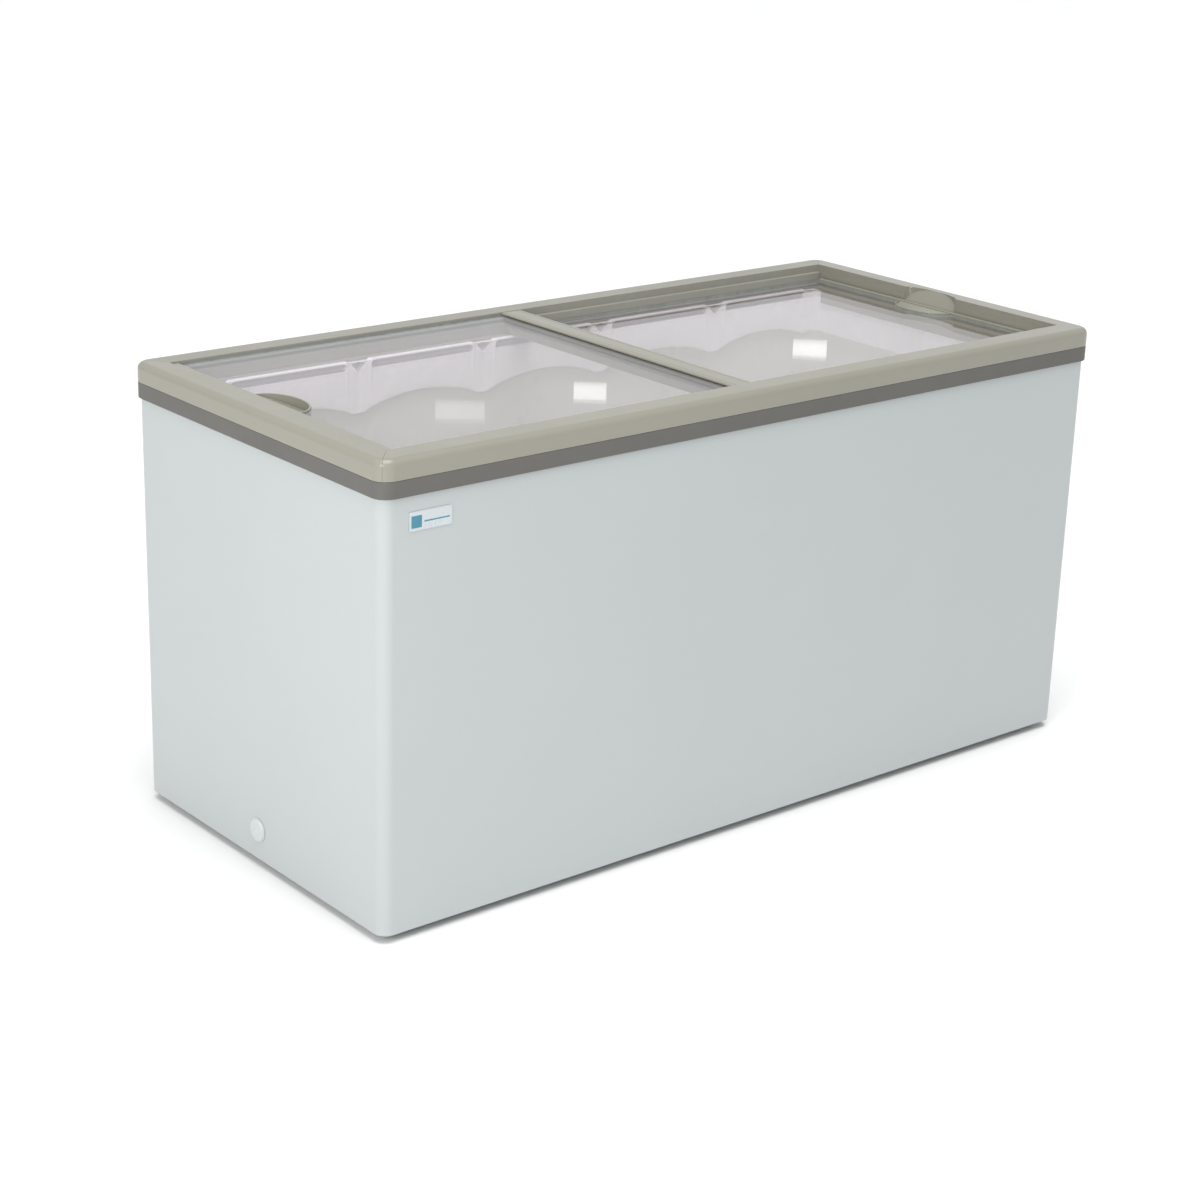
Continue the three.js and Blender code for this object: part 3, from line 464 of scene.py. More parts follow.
def feet():
    for name, x, y in (("front_left", -690, -282), ("front_right", 690, -282), ("rear_left", -690, 282), ("rear_right", 690, 282)):
        bm = bmesh.new()
        pad = [(0, 0), (17.5, 0), (18.0, 0.5), (19.6, 0.5), (20.6, 0.9), (21.0, 1.8), (20.8, 3.4), (19.6, 4.4), (15.5, 6.2), (12.2, 7.6), (11.0, 8.5), (0, 8.5)]
        lathe(bm, pad, "z", (x, y, 0), 56, 0)
        # grip notches round the pad
        for k in range(18):
            a = 2 * math.pi * k / 18
            tube(bm, [(x + 20.2 * math.cos(a), y + 20.2 * math.sin(a), 1.4), (x + 19.9 * math.cos(a), y + 19.9 * math.sin(a), 3.9)], 0.75, 8, 0)
        hexa = [(x + 10.4 * math.cos(math.pi / 3 * k), y + 10.4 * math.sin(math.pi / 3 * k)) for k in range(6)]
        prism(bm, hexa, "z", 8.3, 14.8, 1)
        thread = [(0, 7.0)]
        z = 7.0
        while z < 26.0:
            thread += [(5.35, z), (6.0, z + 0.55), (6.0, z + 0.75), (5.35, z + 1.3)]
            z += 1.4
        thread += [(5.0, z), (0, z + 0.3)]
        lathe(bm, thread, "z", (x, y, 0), 28, 1)
        finish_mesh(f"levelling_{name}", bm, [BLACK_PL, SCREW], "cabinet", f"foot_{name}", angle=34)


feet()


# ------------------------------------------------------------------ top frame
FX, FY, FR, TOP = 755.0, 346.0, 25.0, 752.0
refine("frame_front_rail", FRAME, bevel=0.0009, seg=3, angle=34)
refine("frame_rear_rail", FRAME_REAR, bevel=0.0009, seg=3, angle=34)
refine("frame_left_rail", FRAME, bevel=0.0009, seg=3, angle=34)
refine("frame_right_rail", FRAME, bevel=0.0009, seg=3, angle=34)
refine("frame_lower_band", BAND, bevel=0.0012, seg=3, angle=34)


# ------------------------------------------------------------------ tank and collar
def tank():
    bm = cad_bm("tank_liner")
    # the tank's greyer colour is painted shade for the shadow on the lower inner walls
    finish_mesh("tank_shell", bm, TANK_PAINTED_SHADE, "cabinet", "tank_liner", bevel=0.0025, seg=3, angle=34, recalc=False)


tank()

RIBS = [-374.0, -115.0, 147.0, 421.0]
BAYS = [(-646.0 + 22, -374.0 - 22), (-374.0 + 22, -115.0 - 22), (-115.0 + 22, 147.0 - 22), (147.0 + 22, 421.0 - 22), (421.0 + 22, 672.0 - 22)]


def collar():
    """The moulded collar as one shell: bays outlined by a bead, a long recess in each, notches at the ribs, arched lower edge."""
    CX, CY, R = 680.0, 269.0, 14.0
    stations = []      # (x, y, nx, ny, side) going round, normal pointing inwards

    def straight(x0, y0, x1, y1, nx, ny, step):
        n = max(1, int(round(math.hypot(x1 - x0, y1 - y0) / step)))
        for i in range(n):
            t = i / n
            stations.append((x0 + (x1 - x0) * t, y0 + (y1 - y0) * t, nx, ny))

    def corner(cx, cy, a0, n=8):
        for i in range(n):
            a = math.radians(a0 + 90 * i / n)
            stations.append((cx + R * math.cos(a), cy + R * math.sin(a), -math.cos(a), -math.sin(a)))

    straight(CX, -CY + R, CX, CY - R, -1, 0, 12)
    corner(CX - R, CY - R, 0)
    straight(CX - R, CY, -CX + R, CY, 0, -1, 2.0)
    corner(-CX + R, CY - R, 90)
    straight(-CX, CY - R, -CX, -CY + R, 1, 0, 12)
    corner(-CX + R, -CY + R, 180)
    straight(-CX + R, -CY, CX - R, -CY, 0, 1, 2.0)
    corner(CX - R, -CY + R, 270)

    zs_low = [0.0, 0.012, 0.03, 0.06] + list(np.linspace(0.12, 1.0, 12))    # share of the way from the lower edge to z 694
    zs_top = list(np.arange(695.2, 713.1, 1.1))
    rows = []
    for x, y, nx, ny in stations:
        long_side = abs(ny) > 0.99
        # the arched lower edge is where the white collar gives way to the greyer tank, so it also draws the edge of the
        # painted shadow on the lower walls
        low = 640.0
        if long_side:
            low = 624.0
            for a, b in BAYS:
                a2, b2 = a - 8, b + 8
                if a2 < x < b2:
                    t = (x - a2) / (b2 - a2)
                    low = 624.0 + 24.0 * math.sin(math.pi * t) ** 0.7
        else:
            low = 632.0
        ends = min(abs(x - CX + R), abs(x + CX - R)) if long_side else 99
        if long_side and ends < 20:
            low = low + (632.0 - low) * (1 - ends / 20.0)
        zl = [low + (694.0 - low) * s for s in zs_low] + zs_top
        row = []
        for k, z in enumerate(zl):
            p = 0.0
            if long_side:
                for a, b in BAYS:
                    if a - 14 < x < b + 14:
                        # signed distance to the long recess with round ends
                        cx, cz, hx, hz, r = (a + b) / 2, 705.6, (b - a) / 2 - 4.0, 5.8, 5.6
                        qx, qz = abs(x - cx) - hx + r, abs(z - cz) - hz + r
                        sd = math.hypot(max(qx, 0), max(qz, 0)) + min(max(qx, qz), 0) - r
                        dip = float(smoothstep(0.9, -0.9, sd))
                        p -= 8.6 * dip
                        up = float(smoothstep(696.0, 706.0, z))
                        bead = math.exp(-((sd - 3.0) / 2.0) ** 2) * up * (1 - dip)
                        p += 3.0 * bead
                        # the bead runs down the panel at both ends of the bay and fades out
                        fade = float(smoothstep(640.0, 690.0, z)) * (1 - up)
                        for xe in (a + 1.3, b - 1.3):
                            p += 2.2 * fade * math.exp(-((x - xe) / 2.3) ** 2)
                        # the panel is slightly pillowed
                        t = min(max((x - a) / (b - a), 0), 1)
                        p += 1.1 * math.sin(math.pi * t) ** 0.5 * float(smoothstep(low, low + 14, z)) * float(smoothstep(699.0, 688.0, z))
                for xr in RIBS:
                    # notch between two lips; it is deep enough to take the darker collar copy, which is painted shade
                    sd = abs(x - xr) / 12.0 + abs(z - 709.0) / 13.0 - 1.0
                    p -= 7.5 * float(smoothstep(0.12, -0.12, sd))
                    # shallow flute down the rib
                    p -= 1.6 * math.exp(-((x - xr) / 9.0) ** 2) * float(smoothstep(700.0, 690.0, z)) * float(smoothstep(low, low + 10, z))
            # rounded lower lip
            if k < 4:
                p -= (2.2, 1.0, 0.35, 0.05)[k]
            row.append(((x + nx * p) * MM, (y + ny * p) * MM, z * MM))
        # lip over the top, then the hidden back and flange
        lip = 713.2
        if long_side:
            for a, b in BAYS:
                if a - 3 < x < b + 3:
                    e = min(x - (a - 3), (b + 3) - x)
                    lip = 713.2 + 3.1 * min(1.0, e / 5.0)
        notch = 0.0
        if long_side:
            for xr in RIBS:
                notch = max(notch, 7.0 * max(0.0, 1 - abs(x - xr) / 12.0 - 4.0 / 13.0))
        top_in = 1.6 if lip > 714 else 0.0
        for off, z in ((top_in - notch, lip - 1.4), (top_in * 0.6 - 0.4 - notch, lip - 0.35), (-1.6 - notch, lip), (-6.6 - notch * 0.05, lip), (-7.4 - notch * 0.05, lip - 0.5), (-7.6 - notch * 0.05, 713.2), (-22.4, 713.2), (-22.4, 710.6), (-11.6, 710.6), (-11.6, low + 1.0), (-10.6, low), (-3.5, low)):
            row.append(((x + nx * off) * MM, (y + ny * off) * MM, z * MM))
        rows.append(row)
    bm = bmesh.new()
    grid = sweep(bm, rows, True, True, 0)
    zmax = len(zs_low) + len(zs_top)
    # faces pushed more than 4.2 mm into the long walls (the recesses and notches) get the darker collar copy as painted
    # shade
    for i, (x, y, nx, ny) in enumerate(stations):
        if abs(ny) < 0.99:
            continue
        for v in grid[i][:zmax]:
            if (abs(v.co.y) - CY * MM) > 0.0042:
                for f in v.link_faces:
                    if all(abs(w.co.z) < 0.7135 for w in f.verts):
                        f.material_index = 1
    finish_mesh("collar_moulding", bm, [COLLAR, COLLAR_PAINTED_SHADE], "cabinet", "liner_collar", angle=48, weighted=False)


collar()
refine("evaporator_tube", COPPER, bevel=None, angle=50, name="evaporator_coil")


# ------------------------------------------------------------------ lids
def edge_faces(f):
    return 0 if abs(f.normal.z) > 0.5 else 1


for side in ("left", "right"):
    refine(f"{side}_lid_glass", [GLASS, GLASS_EDGE], bevel=0.0006, seg=2, name=f"{side}_pane", faces=edge_faces)
    refine(f"{side}_lid_front_glide", GREY_PL, bevel=0.0005, seg=2)
    refine(f"{side}_lid_rear_glide", GREY_PL, bevel=0.0005, seg=2)
    refine(f"{side}_lid_grip", FRAME, bevel=0.0007, seg=3, angle=34)


def stile(node, x0, x1, zlow, ztop, glass_top, side, mat):
    """Meeting stile: a hollow profile with a shallow groove and rounded shoulders."""
    y1 = 298.0 if side < 0 else 288.0
    prof = []

    def arc(cx, cz, r, a0, a1, n=5):
        for k in range(n + 1):
            a = math.radians(a0 + (a1 - a0) * k / n)
            prof.append((cx + r * math.cos(a), cz + r * math.sin(a)))

    r = 2.4
    arc(x1 - r, ztop - r, r, 0, 90)
    # two fine grooves along the top
    for gx in (x1 - 8.0, x0 + 8.0):
        for dx, dz in ((1.3, 0), (0.7, -0.55), (0, -0.8), (-0.7, -0.55), (-1.3, 0)):
            prof.append((gx + dx, ztop + dz))
    arc(x0 + r, ztop - r, r, 90, 180)
    arc(x0 + 1.2, zlow + 1.2, 1.2, 180, 270, 3)
    arc(x1 - 1.2, zlow + 1.2, 1.2, 270, 360, 3)
    # slot for the pane
    g0, g1 = glass_top - 5.3, glass_top + 0.3
    if side < 0:
        k = [i for i, p in enumerate(prof) if p[0] < x0 + 0.01 and p[1] > zlow + 2][-1]
        prof[k + 1:k + 1] = [(x0, g1), (x1 - 4.3, g1), (x1 - 4.3, g0), (x0, g0)]
    else:
        prof += [(x1, g0), (x0 + 4.3, g0), (x0 + 4.3, g1), (x1, g1)]
    bm = bmesh.new()
    n = len(prof)
    rows = [[(x * MM, y * MM, z * MM) for x, z in prof] for y in np.linspace(-y1, y1, 41)]
    sweep(bm, rows, False, True)
    bmesh.ops.triangulate(bm, faces=[f for f in bm.faces if len(f.verts) > 4])
    finish_mesh(node + "_profile", bm, mat, "left_lid" if side < 0 else "right_lid", node, angle=34, weighted=False)


stile("left_lid_stile", -55.0, -13.0, 739.0, 751.5, 748.0, -1, FRAME)
stile("right_lid_stile", -53.0, -11.0, 717.0, 730.5, 726.0, 1, FRAME)


def brush():
    bm = bmesh.new()
    slab(bm, -46.9, -41.1, -284, 284, 736.4, 738.7, 0.5, 2, 1)
    rng = np.random.default_rng(5)
    y = -283.0
    while y < 283.0:
        for k in range(3):
            x = -45.8 + 1.8 * k + rng.uniform(-0.4, 0.4)
            l = 732.9 + rng.uniform(0, 0.7)
            yy = y + rng.uniform(-0.4, 0.4)
            dx, dy = rng.uniform(-0.35, 0.35), rng.uniform(-0.4, 0.4)
            w = 0.42
            vs = [bm.verts.new(Vector(p) * MM) for p in ((x - w, yy - w, 737), (x + w, yy - w, 737), (x + w, yy + w, 737), (x - w, yy + w, 737), (x + dx, yy + dy, l))]
            for a, b in ((0, 1), (1, 2), (2, 3), (3, 0)):
                bm.faces.new((vs[b], vs[a], vs[4]))
            bm.faces.new(vs[:4])
        y += 1.9
    finish_mesh("brush_strip", bm, [BRISTLE, GREY_PL], "left_lid", "lid_brush_seal", angle=30, weighted=False)


brush()
for side, x0, x1, z in (("left", -712.7, -709.9, 744.0), ("right", 709.9, 711.7, 723.0)):
    bm = bmesh.new()
    slab(bm, x0, x1, -200, 200, z - 4, z + 4, 0.8, 3)
    for k in range(19):
        slab(bm, x0 + 0.1, x1 - 0.1, -181 + k * 20 - 1.2, -181 + k * 20 + 1.2, z - 3.9, z + 3.9, 0.3, 1)
    finish_mesh(f"{side}_buffer_strip", bm, RUBBER, "cabinet", f"{side}_end_buffer", angle=40)


# ------------------------------------------------------------------ drain
def drain():
    refine("drain_tube", WHITE_PL, bevel=None, angle=50)
    bm = bmesh.new()
    prof = [(0, -755.0 + 0.35), (12.0, -754.6), (13.2, -754.1), (14.4, -754.35), (17.4, -753.9), (18.3, -753.1), (18.6, -751.8), (19.3, -751.6), (20.0, -751.3), (20.0, -750.4), (7.6, -750.4), (7.6, -741.0), (7.9, -740.2), (7.6, -739.4), (7.6, -736.0), (7.2, -734.6), (6.4, -734.0), (0, -734.0)]
    lathe(bm, prof, "x", (0, 0, 64), 64)
    # finger grip across the cap
    slab(bm, -754.55, -753.4, -11.5, 11.5, 61.9, 66.1, 0.45, 3)
    finish_mesh("drain_cap_moulding", bm, WHITE_PL, "drain_cap_body", "drain_cap", angle=40)
    bm = bmesh.new()
    prof = [(0, 82), (6.2, 82), (7.4, 83), (8.0, 85), (7.5, 88), (8.0, 90), (7.5, 93), (8.1, 95), (8.1, 96.35), (18.2, 96.35), (19.0, 97.0), (18.4, 98.2), (16.8, 99.0), (6.0, 99.5), (3.0, 99.6), (0, 99.6)]
    lathe(bm, prof, "z", (-640, 0, 0), 56)
    slab(bm, -642.5, -637.5, -10, 10, 98.6, 108, 1.6, 4)
    finish_mesh("drain_plug_moulding", bm, RUBBER, "drain_plug_body", "drain_plug", angle=40)


drain()


# ------------------------------------------------------------------ machine space
def machine():
    refine("machine_space_liner", ZINC, bevel=0.0003, seg=1)
    bm = bmesh.new()
    cx, cy = 565.0, 165.0
    prof = [(0, 41), (58, 41), (66, 43.5), (71.5, 49), (73.6, 56), (75, 100), (75.2, 112), (83.0, 113.2), (84.0, 114.4), (84.0, 118.6), (83.0, 119.8), (76.4, 121.2), (75, 126), (73.4, 160), (71, 172), (65, 186), (54, 198), (38, 206.5), (20, 211), (0, 212)]
    lathe(bm, prof, "z", (cx, cy, 0), 96)
    # weld seam round the shell
    for k in range(72):
        a = 2 * math.pi * k / 72
        tube(bm, [(cx + 76.2 * math.cos(a), cy + 76.2 * math.sin(a), 121.2), (cx + 76.4 * math.cos(a + 0.06), cy + 76.4 * math.sin(a + 0.06), 121.5)], 1.5, 6)
    slab(bm, cx - 88, cx + 88, cy - 56, cy + 56, 36, 41, 1.6, 3)
    slab(bm, cx - 70, cx + 70, cy - 40, cy + 40, 40, 43.5, 1.2, 2)
    for (x, y, r, z) in ((cx - 40, cy + 30, 4.0, 232), (cx + 38, cy - 28, 3.0, 222)):
        tube(bm, [(x, y, 190), (x, y, z)], r, 20, 1)
        tube(bm, [(x, y, 196), (x, y, 203)], r + 2.2, 20, 0)
    finish_mesh("compressor_shell", bm, [BLACK, COPPER], "cabinet", "compressor", angle=36)
    for n, x, y in (("front_left", -76, -44), ("front_right", 76, -44), ("rear_left", -76, 44), ("rear_right", 76, 44)):
        bm = bmesh.new()
        lathe(bm, [(0, 16.6), (10.6, 16.6), (11, 17.2), (11, 21), (9.2, 22.4), (9.0, 23.6), (10.8, 25), (10.8, 27.4), (9.6, 28.4), (7.6, 29), (7.4, 35.2), (6.8, 35.7), (0, 35.7)], "z", (cx + x, cy + y, 0), 36)
        finish_mesh(f"compressor_grommet_{n}", bm, RUBBER, "cabinet", f"compressor_foot_{n}", angle=40)
    bm = bmesh.new()
    slab(bm, cx - 24, cx + 24, cy - 128, cy - 84.6, 70, 150, 4.0, 4)
    for k in range(6):
        slab(bm, cx - 20, cx + 20, cy - 128.0, cy - 127.2, 80 + k * 11, 84 + k * 11, 0.3, 1)
    slab(bm, cx - 23.9, cx + 23.9, cy - 127.6, cy - 86, 146, 149.9, 0.8, 2)
    finish_mesh("terminal_cover_moulding", bm, BLACK_PL, "cabinet", "compressor_terminal_cover", angle=40)

    # wire-on-tube condenser
    bm = bmesh.new()
    x, y0, y1 = 722.0, -215.0, 120.0
    pts = []
    for i in range(9):
        z = 56 + i * 27
        row = [(x, y0, z), (x, y1, z)]
        if i % 2:
            row.reverse()
        pts += row
    pts = [(690, y0, 56)] + pts + [(690, y1, 56 + 8 * 27)]
    tube(bm, smooth_path(pts, 13, 7), 2.9, 12)
    y = y0 + 8
    while y < y1 - 4:
        for dx in (-3.4, 3.0):
            tube(bm, [(x + dx, y, 44.5), (x + dx, y, 283.5)], 0.75, 6)
        y += 6.2
    finish_mesh("condenser_coil", bm, BLACK, "cabinet", "condenser", angle=50, weighted=False)

    # fan
    fy, fz = -50.0, 165.0
    bm = bmesh.new()
    lathe(bm, [(0, 626), (20, 626), (25, 627), (27.4, 629.5), (28, 633), (28, 640), (27.2, 640.6), (27.2, 654), (28, 654.6), (28, 661), (27.2, 664.6), (24.4, 667.2), (10, 668), (3.4, 668), (3.4, 656), (0, 656)], "x", (0, fy, fz), 56)
    for k in range(16):
        a = 2 * math.pi * k / 16
        tube(bm, [(641.5, fy + 27.2 * math.cos(a), fz + 27.2 * math.sin(a)), (653.0, fy + 27.2 * math.cos(a), fz + 27.2 * math.sin(a))], 0.75, 6)
    finish_mesh("fan_motor_shell", bm, BLACK, "cabinet", "fan_motor", angle=36)
    bm = bmesh.new()
    lathe(bm, [(0, 655.6), (3, 655.6), (3, 669), (13.4, 669), (15, 670.4), (15, 686), (13.6, 689), (10.4, 690), (0, 690)], "x", (0, fy, fz), 48)
    for i in range(5):
        a0 = 2 * math.pi * i / 5
        grid_t, grid_b = [], []
        for u in np.linspace(0, 1, 13):
            r = 13.0 + u * 48.5
            half = math.radians(27 - 6 * u + 6 * math.sin(math.pi * u))
            rt, rb = [], []
            for v in np.linspace(-1, 1, 11):
                a = a0 + half * v + 0.22 * u
                pitch = 9.5 * (1 - 0.25 * u)
                h = 679.5 - v * pitch + 1.6 * (1 - v * v)
                th = 0.95 * (1 - 0.55 * abs(v) ** 3) * (1 - 0.35 * u)
                rt.append(Vector((h + th, fy + r * math.sin(a), fz + r * math.cos(a))) * MM)
                rb.append(Vector((h - th, fy + r * math.sin(a), fz + r * math.cos(a))) * MM)
            grid_t.append(rt)
            grid_b.append(rb)
        rows = [rt + rb[::-1] for rt, rb in zip(grid_t, grid_b)]
        sweep(bm, rows, False, True)
    finish_mesh("fan_rotor", bm, GREY_PL, "fan", "fan_blades", angle=44)
    refine("fan_stand", ZINC, bevel=0.0006, seg=2)
    refine("fan_shroud", ZINC, bevel=0.0005, seg=2)
    bm = bmesh.new()
    lathe(bm, [(0, 70), (3, 70), (3, 86), (4.2, 89), (8.2, 95), (9, 98), (9, 170), (8.4, 174), (5, 181), (3.2, 184), (3, 188), (3, 200), (0, 200)], "z", (474, 40, 0), 36)
    finish_mesh("filter_drier_shell", bm, COPPER, "cabinet", "filter_drier", angle=40)
    for node, pts, r, bend in (
        ("discharge_tube", [(cx + 38, cy - 28, 222.4), (cx + 38, cy - 28, 262), (660, 124, 262), (660, 120, 272), (689.6, 120, 272)], 2.95, 12),
        ("suction_tube", [(620, 287.5, 299.6), (620, 287.5, 270), (cx - 40, 287.5, 270), (cx - 40, cy + 30, 270), (cx - 40, cy + 30, 232.4)], 3.95, 14),
    ):
        bm = bmesh.new()
        tube(bm, smooth_path(pts, bend, 8), r, 18)
        finish_mesh(node + "_bent", bm, COPPER, "cabinet", node, angle=60, weighted=False)
    bm = bmesh.new()
    slab(bm, 459, 500, 268, 328, 50, 124, 2.5, 3)
    slab(bm, 457.9, 459.4, 270, 326, 52, 122, 0.5, 2)
    for y, z in ((274, 56), (322, 56), (274, 118), (322, 118)):
        lathe(bm, [(0, 499.6), (2.6, 499.6), (3.0, 500.3), (2.2, 501.2), (0, 501.4)], "x", (0, y, z), 18, 1)
    finish_mesh("junction_box_shell", bm, [GREY_PL, SCREW], "cabinet", "junction_box", angle=40)
    bm = bmesh.new()
    lathe(bm, [(4, 329), (9, 329), (9, 339.7), (12.4, 340.0), (12.5, 341.0), (11.6, 342.0), (11.9, 342.6), (10.6, 343.4), (10.9, 344.1), (10.0, 345.3), (5.0, 345.4), (4, 344.4)], "y", (474, 0, 80), 40)
    finish_mesh("mains_inlet_bush", bm, RUBBER, "cabinet", "mains_inlet_gland", angle=40)


machine()


# ------------------------------------------------------------------ grilles, control, badge
def grilles():
    refine("side_grille", GRILLE_PL, bevel=0.0008, seg=3, angle=34)
    bm = bmesh.new()
    for i in range(11):
        z = 62 + i * 19
        prism(bm, [(749.6, z - 1.2), (749.6, z + 0.2), (741.0, z + 8.4), (741.0, z + 7.0)], "y", -227.0, 119.0)
    finish_mesh("side_grille_vanes", bm, GRILLE_PL, "cabinet", angle=30, bevel=0.0003, seg=2)
    refine("rear_grille", GRILLE_PL, bevel=0.0006, seg=3, angle=34)
    bm = bmesh.new()
    for i in range(10):
        z = 72 + i * 20
        made = [(338.8, z - 1.2), (338.8, z + 0.2), (331.0, z + 9.4), (331.0, z + 8.0)]
        prism_yz(bm, made, 516.0, 684.0)
    finish_mesh("rear_grille_vanes", bm, GRILLE_PL, "cabinet", angle=30, bevel=0.0003, seg=2)
    for n, x, z in (("low_left", 499, 53), ("low_right", 701, 53), ("top_left", 499, 287), ("top_right", 701, 287)):
        bm = bmesh.new()
        lathe(bm, [(0, 343.1), (4.0, 343.1), (4.0, 343.6), (3.4, 344.2), (1.6, 344.6), (0, 344.6)], "y", (x, 0, z), 28)
        slab(bm, x - 2.4, x + 2.4, 344.3, 344.7, z - 0.45, z + 0.45, 0.1, 1, 1)
        slab(bm, x - 0.45, x + 0.45, 344.3, 344.7, z - 2.4, z + 2.4, 0.1, 1, 1)
        finish_mesh(f"rear_grille_fastener_{n}", bm, [SCREW, BLACK], "cabinet", f"rear_grille_screw_{n}", angle=40)


def prism_yz(bm, outline, x0, x1):
    lo = [bm.verts.new(Vector((x0, v, w)) * MM) for v, w in outline]
    hi = [bm.verts.new(Vector((x1, v, w)) * MM) for v, w in outline]
    n = len(outline)
    bm.faces.new(lo[::-1])
    bm.faces.new(hi)
    for i in range(n):
        bm.faces.new((lo[i], lo[(i + 1) % n], hi[(i + 1) % n], hi[i]))


grilles()


def control():
    ky, kz = 183.0, 232.0
    bm = bmesh.new()
    rows = []
    # fluted skirt with a cap and a pointer
    seg = 120
    prof = [(0, 735.4), (18.4, 735.4), (19.0, 736.0), (18.8, 738.0), (18.0, 744.5), (17.4, 747.2), (16.4, 748.6), (14.8, 749.0), (14.2, 748.6), (0, 748.6)]
    for k in range(seg):
        a = 2 * math.pi * k / seg
        flute = 0.45 * (0.5 - 0.5 * math.cos(24 * a))
        row = []
        for j, (r, h) in enumerate(prof):
            rr = r - (flute if 2 <= j <= 6 else 0)
            row.append(Vector((h, ky + rr * math.cos(a), kz + rr * math.sin(a))) * MM)
        rows.append(row)
    before = len(bm.verts)
    sweep(bm, rows, True, False)
    bm.verts.ensure_lookup_table()
    bmesh.ops.remove_doubles(bm, verts=bm.verts[before:], dist=1e-7)
    lathe(bm, [(0, 726), (3.2, 726), (3.5, 726.4), (3.5, 735.5), (0, 735.5)], "x", (0, ky, kz), 24)
    slab(bm, 748.3, 749.0, ky - 0.9, ky + 0.9, kz + 3.0, kz + 13.0, 0.2, 2, 1)
    finish_mesh("thermostat_dial", bm, [BLACK_PL, WHITE_PL], "knob", "thermostat_knob", angle=40)
    refine("thermostat_body", GREY_PL, bevel=0.0012, seg=3)
    bm = bmesh.new()
    lathe(bm, [(0, 730), (3, 730), (3, 736.6), (2.6, 737.5), (1.6, 738.0), (0, 738.0)], "x", (0, ky, 264), 28)
    finish_mesh("indicator_lens", bm, LENS, "cabinet", "indicator_lamp", angle=50)
    # scale marks round the dial, on the pocket floor
    bm = bmesh.new()
    for i in range(7):
        a = math.radians(210 - i * 40)
        c, s = math.cos(a), math.sin(a)
        p0 = (735.16, ky + 20.6 * c, kz + 20.6 * s)
        p1 = (735.16, ky + 23.4 * c, kz + 23.4 * s)
        tube(bm, [p0, p1], 0.35 + 0.08 * i, 6)
    finish_mesh("dial_marks", bm, INK, "cabinet", angle=40)


control()


def badge():
    bm = bmesh.new()
    x0, x1, z0, z1 = -704.0, -629.0, 640.0, 669.0
    prism(bm, [(u, v) for u, v in rounded(x0, x1, z0, z1, 2.2, 6)], "y", -342.2, -341.3, 0)
    prism(bm, [(u, v) for u, v in rounded(x0 + 0.9, x1 - 0.9, z0 + 0.9, z1 - 0.9, 1.6, 6)], "y", -342.42, -342.1, 0)
    prism(bm, [(u, v) for u, v in rounded(x0 + 3.2, x0 + 21.5, z0 + 4.4, z1 - 6.2, 1.4, 6)], "y", -342.5, -342.3, 1)
    prism(bm, [(u, v) for u, v in rounded(x0 + 25.5, x1 - 4.5, z0 + 11.4, z0 + 13.6, 0.6, 4)], "y", -342.5, -342.3, 1)
    finish_mesh("badge_panel", bm, [BADGE, TEAL], "cabinet", "badge_plate", bevel=0.00012, seg=2, angle=40)


badge()

# ------------------------------------------------------------------ remaining CAD nodes get their finish
PLAIN = {
    "insulation_foam": FOAM,
}
for n, o in NODES.items():
    if o.hide_render:
        continue
    o.data.materials.clear()
    o.data.materials.append(PLAIN.get(n, GREY_PL))


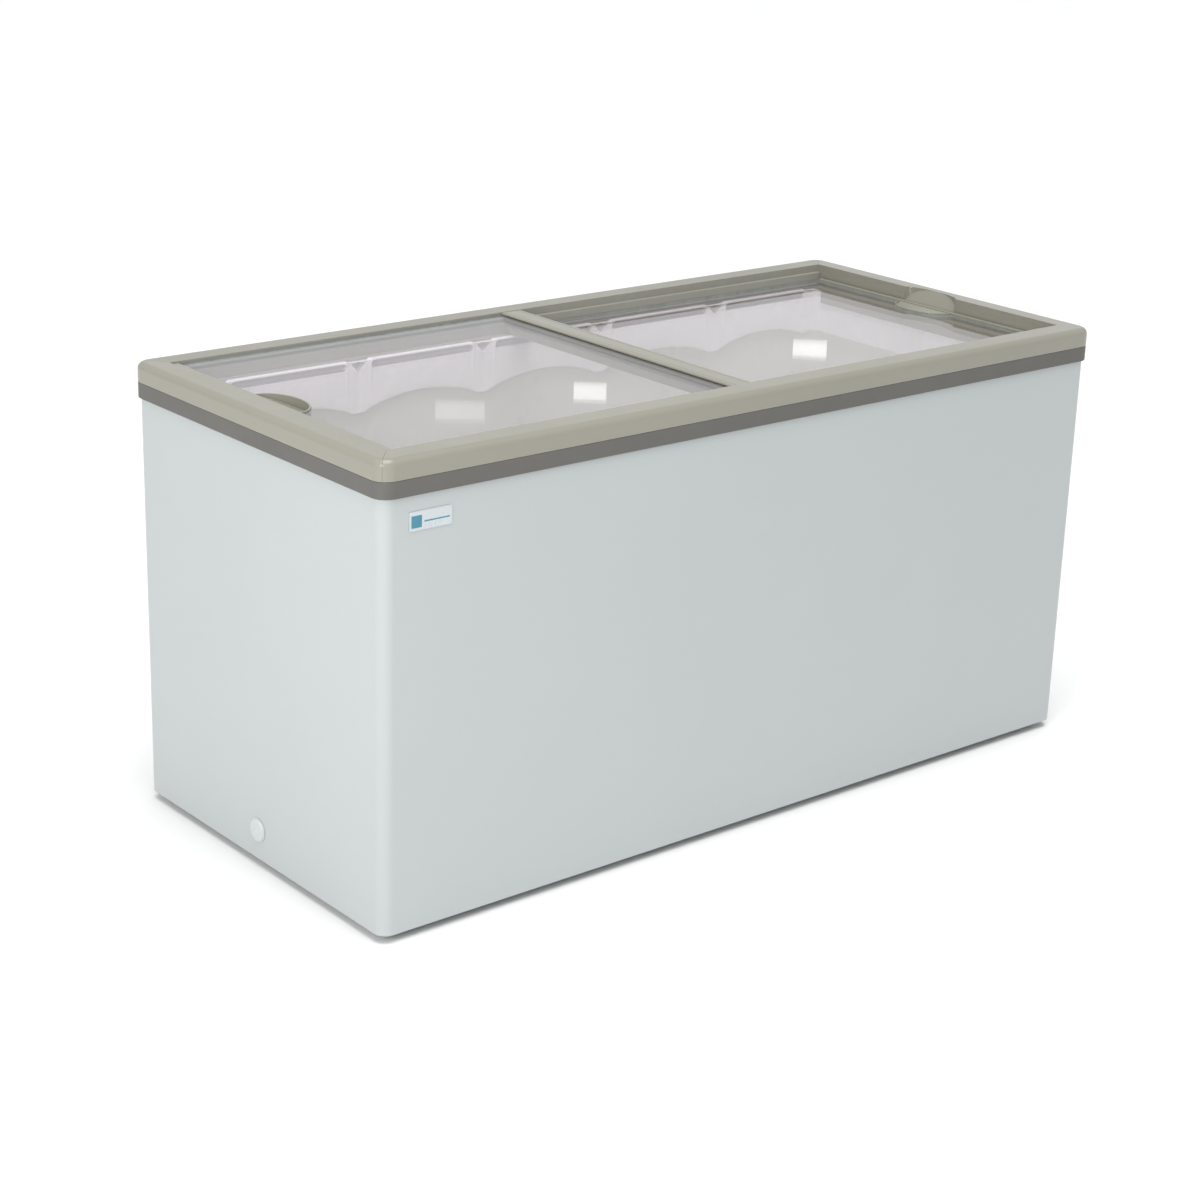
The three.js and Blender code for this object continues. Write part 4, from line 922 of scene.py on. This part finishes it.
# ------------------------------------------------------------------ studio
def studio():
    bm = bmesh.new()
    bmesh.ops.create_grid(bm, x_segments=8, y_segments=8, size=40.0)
    me = bpy.data.meshes.new("floor")
    bm.to_mesh(me)
    bm.free()
    me.materials.append(pbr("pale_floor", (0.86, 0.86, 0.86), rough=0.6, spec=0.2, vary=0.01, vary_scale=0.8, grain=(60.0, 0.0001)))
    floor = bpy.data.objects.new("floor", me)
    scene.collection.objects.link(floor)
    world = bpy.data.worlds.new("studio")
    scene.world = world
    world.use_nodes = True
    bg = world.node_tree.nodes["Background"]
    bg.inputs[0].default_value = (0.985, 0.995, 1.0, 1)
    bg.inputs[1].default_value = 0.50

    def sun(name, direction, power, angle, colour=(1, 1, 1)):
        d = bpy.data.lights.new(name, "SUN")
        d.energy, d.angle, d.color = power, math.radians(angle), colour
        o = bpy.data.objects.new(name, d)
        o.rotation_euler = Vector(direction).to_track_quat("-Z", "Y").to_euler()
        scene.collection.objects.link(o)

    sun("top", (0.02, 0.18, -1.0), 2.35, 50.0)
    d = bpy.data.lights.new("key", "AREA")
    d.shape, d.size, d.size_y, d.energy, d.color = "RECTANGLE", 1.6, 1.4, 60.0, (1.0, 0.997, 0.99)
    key = bpy.data.objects.new("key", d)
    key.location = (-3.35, -1.75, 1.8)
    key.rotation_euler = (Vector((-0.4, -0.1, 0.35)) - key.location).to_track_quat("-Z", "Y").to_euler()
    scene.collection.objects.link(key)
    # a broad, dim screen behind the cabinet that the lid glass mirrors
    d = bpy.data.lights.new("screen", "AREA")
    d.shape, d.size, d.size_y, d.energy = "RECTANGLE", 5.0, 2.0, 9.5
    screen = bpy.data.objects.new("screen", d)
    screen.location = (2.75, 3.15, 2.05)
    screen.rotation_euler = (Vector((0.0, 0.0, 0.75)) - screen.location).to_track_quat("-Z", "Y").to_euler()
    scene.collection.objects.link(screen)

    def panel(name, hit, size, power, distance=3.2):
        # a small soft box that stands along the mirrored sight line, so that the lid glass shows it
        cam = scene.camera.matrix_world.translation
        d = (Vector(hit) - cam).normalized()
        d.z = -d.z
        p = Vector(hit) + d * distance
        l = bpy.data.lights.new(name, "AREA")
        l.shape, l.size, l.size_y, l.energy = "RECTANGLE", size[0], size[1], power
        l.spread = math.radians(60)
        o = bpy.data.objects.new(name, l)
        o.location = p
        o.rotation_euler = (Vector(hit) - p).to_track_quat("-Z", "Y").to_euler()
        scene.collection.objects.link(o)

    panel("window_a", (-0.2555, -0.191, 0.748), (0.092, 0.048), 0.0012)
    panel("window_b", (0.2985, -0.108, 0.726), (0.100, 0.048), 0.0013)
    panel("window_c", (-0.4906, -0.171, 0.748), (0.137, 0.052), 0.0007)


studio()
